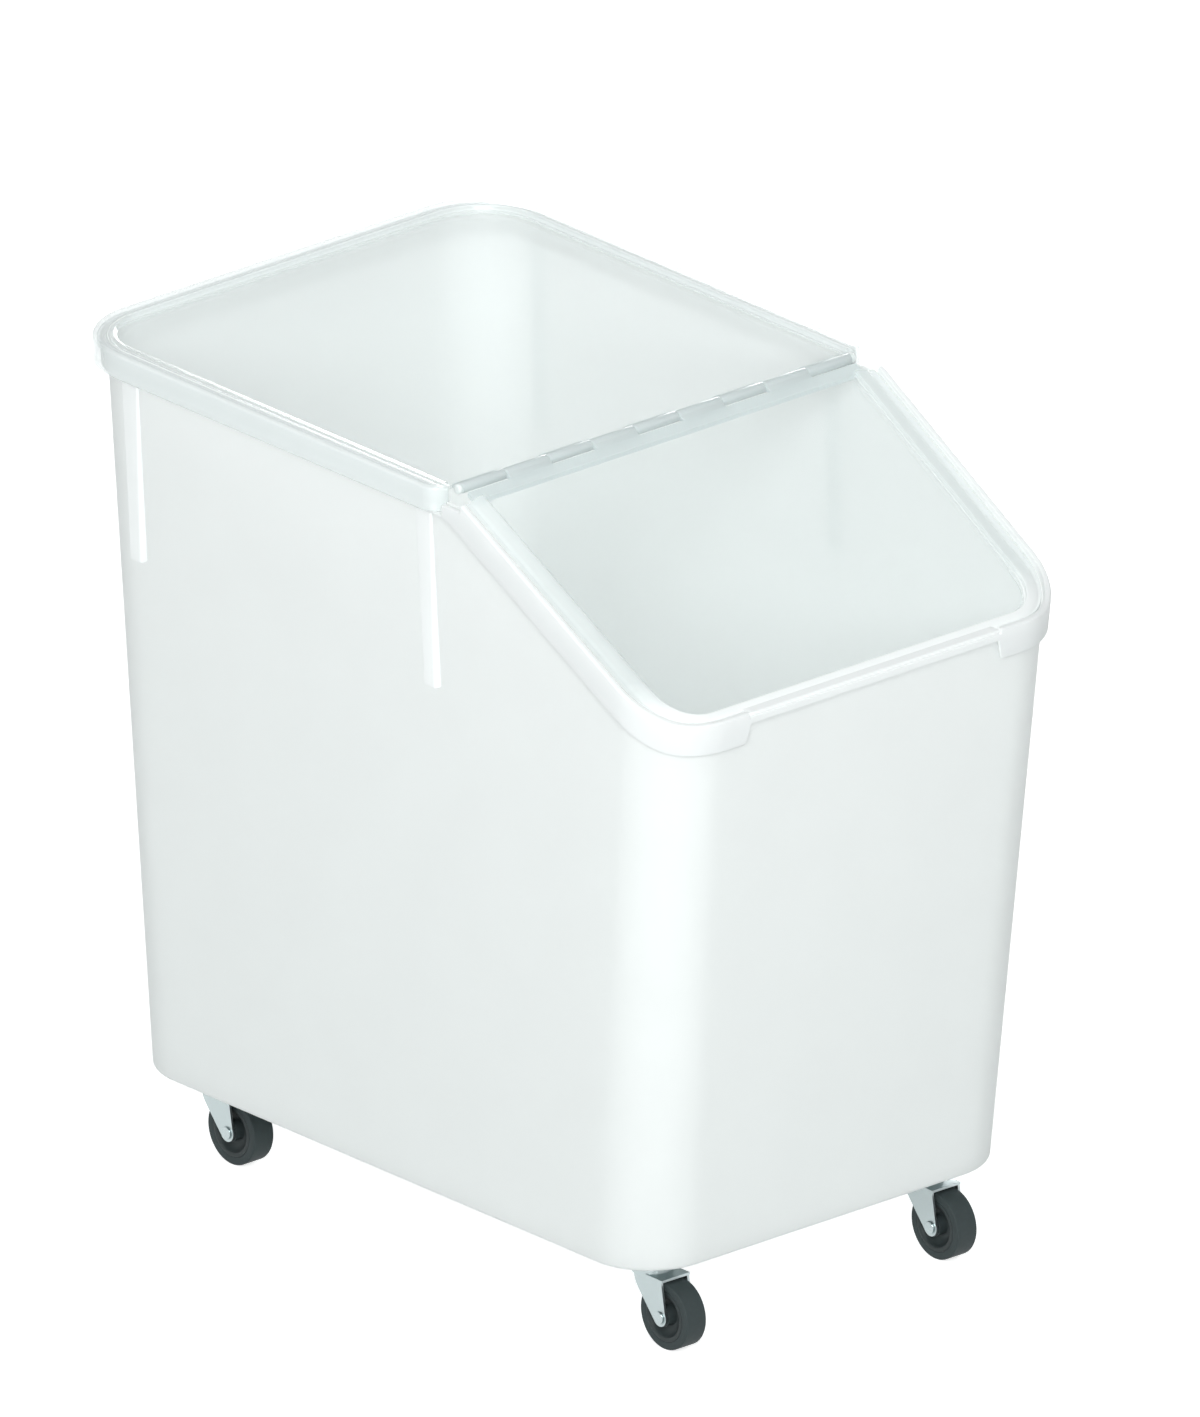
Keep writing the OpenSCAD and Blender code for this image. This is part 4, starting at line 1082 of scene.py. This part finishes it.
class OBJECT_OT_bin_wheels(bpy.types.Operator):
    """Builds the four wheels: a moulded centre with dished faces, and a soft tread."""

    bl_idname = "object.bin_wheels"
    bl_label = "Wheels"
    bl_options = {"REGISTER", "UNDO"}

    def execute(self, context):
        """Each wheel's centre and tread are profiles turned about the axle."""
        sizes, count = context.scene.bin_casters, 96
        hub, tread = self.profiles(sizes)
        centre = dark_plastic("nylon_wheel_moulded", sizes.centre, 0.42, 0.6, 0.6, 1.53)
        rubber = dark_plastic("grey_rubber_moulded", sizes.tread, 0.55, 0.75, 0.5, 1.5)
        sorts = (
            ("wheel_centre", hub, centre, "wheel_plastic", "hub"),
            ("wheel_tread", tread, rubber, "tread_rubber", "tyre"),
        )
        a = np.linspace(0, 2 * math.pi, count + 1)[:-1]
        for corner in CORNERS:
            middle = [sum(ends) * MM / 2 for ends in zip(*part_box(f"tyre_{corner}"))]
            for name, profile, material, slot, stands_for in sorts:
                r, x = profile[:, :1], profile[:, 1:]
                points = stacked(x, r * np.cos(a), r * np.sin(a)).reshape(-1, 3) + middle
                faces = ring_faces(len(profile), count, torus=True)
                obj = make_object(f"{name}_{corner}", points, faces, 38)
                put(obj, f"wheel_{corner}", material, [f"{stands_for}_{corner}"])
        return {"FINISHED"}

    @staticmethod
    def profiles(sizes):
        """Radius and place along the axle of the centre's profile and the tread's.

        The centre's runs from its bore over the boss, the dish and the ring to the tread, and
        back mirrored; the tread's from the ring over two rounded edges and its face."""
        half, core, dish = sizes.width * MM / 2, sizes.core * MM / 2, sizes.dish * MM / 2
        boss, long, bore = sizes.boss * MM / 2, sizes.boss_length * MM / 2, sizes.bore * MM / 2
        edge, outer = sizes.edge * MM, sizes.wheel * MM / 2
        side = [
            (bore, 0.0), (bore, long - 0.3), (bore + 0.3, long), (boss - 0.5, long),
            (boss - 0.1, long - 0.15), (boss, long - 0.5), (boss, 4.2), (boss + 0.3, 3.4),
            (boss + 1.2, 3.0), (boss + 2.6, 3.1), (dish - 4.4, 3.7), (dish - 3.0, 4.6),
            (dish - 1.8, 5.8), (dish - 0.8, 7.2), (dish - 0.1, half - 0.6),
            (dish + 0.15, half - 0.25), (dish + 0.5, half), (core - 0.4, half),
            (core - 0.1, half - 0.15), (core, half - 0.5),
        ]
        tyre = [(core + 0.02, half - 0.5), (core + 0.15, half - 0.12), (core + 0.5, half)]
        tyre += [(outer - edge * c, half - edge * s) for c, s in quarter(7)[::-1]]
        tyre += [(outer, 4.5), (outer, 1.5)]
        hub = side + [(r, -x) for r, x in side[:0:-1]]
        return np.array(hub), np.array(tyre + [(r, -x) for r, x in tyre[::-1]])


class OBJECT_OT_bin_stage(bpy.types.Operator):
    """Sets up the pale floor, the soft lamps, the surroundings and the camera."""

    bl_idname = "object.bin_stage"
    bl_label = "Stage"
    bl_options = {"REGISTER", "UNDO"}

    def execute(self, context):
        """One broad lamp stands on the camera's side, one behind, and three weaker ones fill in.

        The camera has parallel projection: it looks along the stated azimuth and elevation
        at the middle of the picture."""
        scene = context.scene
        sizes = scene.bin_stage
        az, el = -sizes.azimuth, sizes.elevation
        camera = new_object("camera", bpy.data.cameras.new("camera"))
        camera.data.type = "ORTHO"
        camera.data.ortho_scale = sizes.frame_height
        camera.data.clip_end = 20
        self.aim(camera, np.array([0.1015, 0.0876, 0.3255]), az, el, 4)
        scene.camera = camera
        lamps = (  # name, turn from the camera, elevation, distance, size and power
            ("key", -0.5, 26, 5.0, 2.2, 209),
            ("left_fill", -95, 14, 3.0, 2.0, 10),
            ("right_fill", 62, 20, 3.0, 2.0, 3),
            ("top", 0, 82, 2.6, 2.2, 18),
            ("rear", 166, 6, 3.2, 1.6, 74),
        )
        for name, around, above, distance, size, power in lamps:
            lamp = new_object(name, bpy.data.lights.new(name, "AREA"))
            lamp.data.shape = "SQUARE"
            lamp.data.size = size
            lamp.data.energy = power
            lamp.visible_camera = False
            around, above = az + math.radians(around), math.radians(above)
            self.aim(lamp, np.array([0, 0, 0.32]), around, above, distance)
        self.surroundings(scene)
        self.floor(sizes)
        scene.view_settings.view_transform = "Standard"
        return {"FINISHED"}

    @staticmethod
    def aim(obj, target, azimuth, elevation, distance):
        """Stands an object off a target in a direction, facing the target."""
        level = math.cos(elevation)
        away = (math.sin(azimuth) * level, -math.cos(azimuth) * level, math.sin(elevation))
        obj.location = target + np.array(away) * distance
        obj.rotation_euler = (math.pi / 2 - elevation, 0, azimuth)

    @staticmethod
    def surroundings(scene):
        """White surroundings for the camera, reflections and light through walls, else dimmer."""
        world = bpy.data.worlds.new("studio")
        world.use_nodes = True
        tree = world.node_tree
        tree.nodes.clear()
        seen = on_rays(tree, "Camera", "Transmission", "Glossy")
        strength = node(tree, "MapRange", {"To Min": 0.30, "To Max": 1.0, "Value": seen})
        sky = node(tree, "Background", {"Strength": strength})
        node(tree, "OutputWorld", {"Surface": sky})
        scene.world = world

    @staticmethod
    def floor(sizes):
        """A wide matt floor that reads white to the camera and keeps the soft shadow."""
        reach, drop = 20, -0.0002
        corners = [(-reach, -reach), (reach, -reach), (reach, reach), (-reach, reach)]
        mesh = bpy.data.meshes.new("floor")
        mesh.from_pydata([(x, y, drop) for x, y in corners], [], [(0, 1, 2, 3)])
        material, tree = new_material("studio_floor_paper")
        glow = node(tree, "Emission", {"Strength": 0.7})
        paper = node(tree, "BsdfDiffuse", {"Color": (*sizes.floor, 1)})
        lit = node(tree, "AddShader", {0: glow, 1: paper})
        seen = on_rays(tree, "Camera", "Glossy")
        shader = node(tree, "MixShader", {0: seen, 1: paper, 2: lit})
        mesh.materials.append(finish_material(material, shader))
        new_object("floor", mesh)


class VIEW3D_PT_bin(bpy.types.Panel):
    """Lists the bin's pieces and their sizes in the sidebar."""

    bl_label = "Ingredient bin"
    bl_idname = "VIEW3D_PT_bin"
    bl_space_type = "VIEW_3D"
    bl_region_type = "UI"
    bl_category = "Bin"

    def draw(self, context):
        scene = context.scene
        lids = (OBJECT_OT_bin_rear_lid, OBJECT_OT_bin_front_lid, OBJECT_OT_bin_hinge)
        for title, group, operators in (
            ("Tub", scene.bin_tub, (OBJECT_OT_bin_tub, OBJECT_OT_bin_ribs)),
            ("Lids", scene.bin_lids, lids),
            ("Casters", scene.bin_casters, (OBJECT_OT_bin_steelwork, OBJECT_OT_bin_wheels)),
            ("Stage", scene.bin_stage, (OBJECT_OT_bin_stage,)),
        ):
            box = self.layout.box()
            box.label(text=title)
            for operator in operators:
                box.operator(operator.bl_idname)
            for key in group.__annotations__:
                box.prop(group, key)


GROUPS = {
    "bin_tub": BinTubSizes,
    "bin_lids": BinLidSizes,
    "bin_casters": BinCasterSizes,
    "bin_stage": BinStageSizes,
}
CLASSES = (
    *GROUPS.values(), OBJECT_OT_bin_tub, OBJECT_OT_bin_ribs, OBJECT_OT_bin_rear_lid,
    OBJECT_OT_bin_front_lid, OBJECT_OT_bin_hinge, OBJECT_OT_bin_steelwork, OBJECT_OT_bin_wheels,
    OBJECT_OT_bin_stage, VIEW3D_PT_bin,
)


def register():
    """Registers the classes and hangs the settings on the scene."""
    for item in CLASSES:
        bpy.utils.register_class(item)
    for name, group in GROUPS.items():
        setattr(bpy.types.Scene, name, bpy.props.PointerProperty(type=group))


def unregister():
    """Takes the settings and the classes away again."""
    for name in GROUPS:
        delattr(bpy.types.Scene, name)
    for item in reversed(CLASSES):
        bpy.utils.unregister_class(item)


def main():
    """Builds every piece and the stage."""
    register()
    bpy.ops.object.bin_tub()
    bpy.ops.object.bin_ribs()
    bpy.ops.object.bin_rear_lid()
    bpy.ops.object.bin_front_lid()
    bpy.ops.object.bin_hinge()
    bpy.ops.object.bin_steelwork()
    bpy.ops.object.bin_wheels()
    bpy.ops.object.bin_stage()


if __name__ == "__main__":
    main()
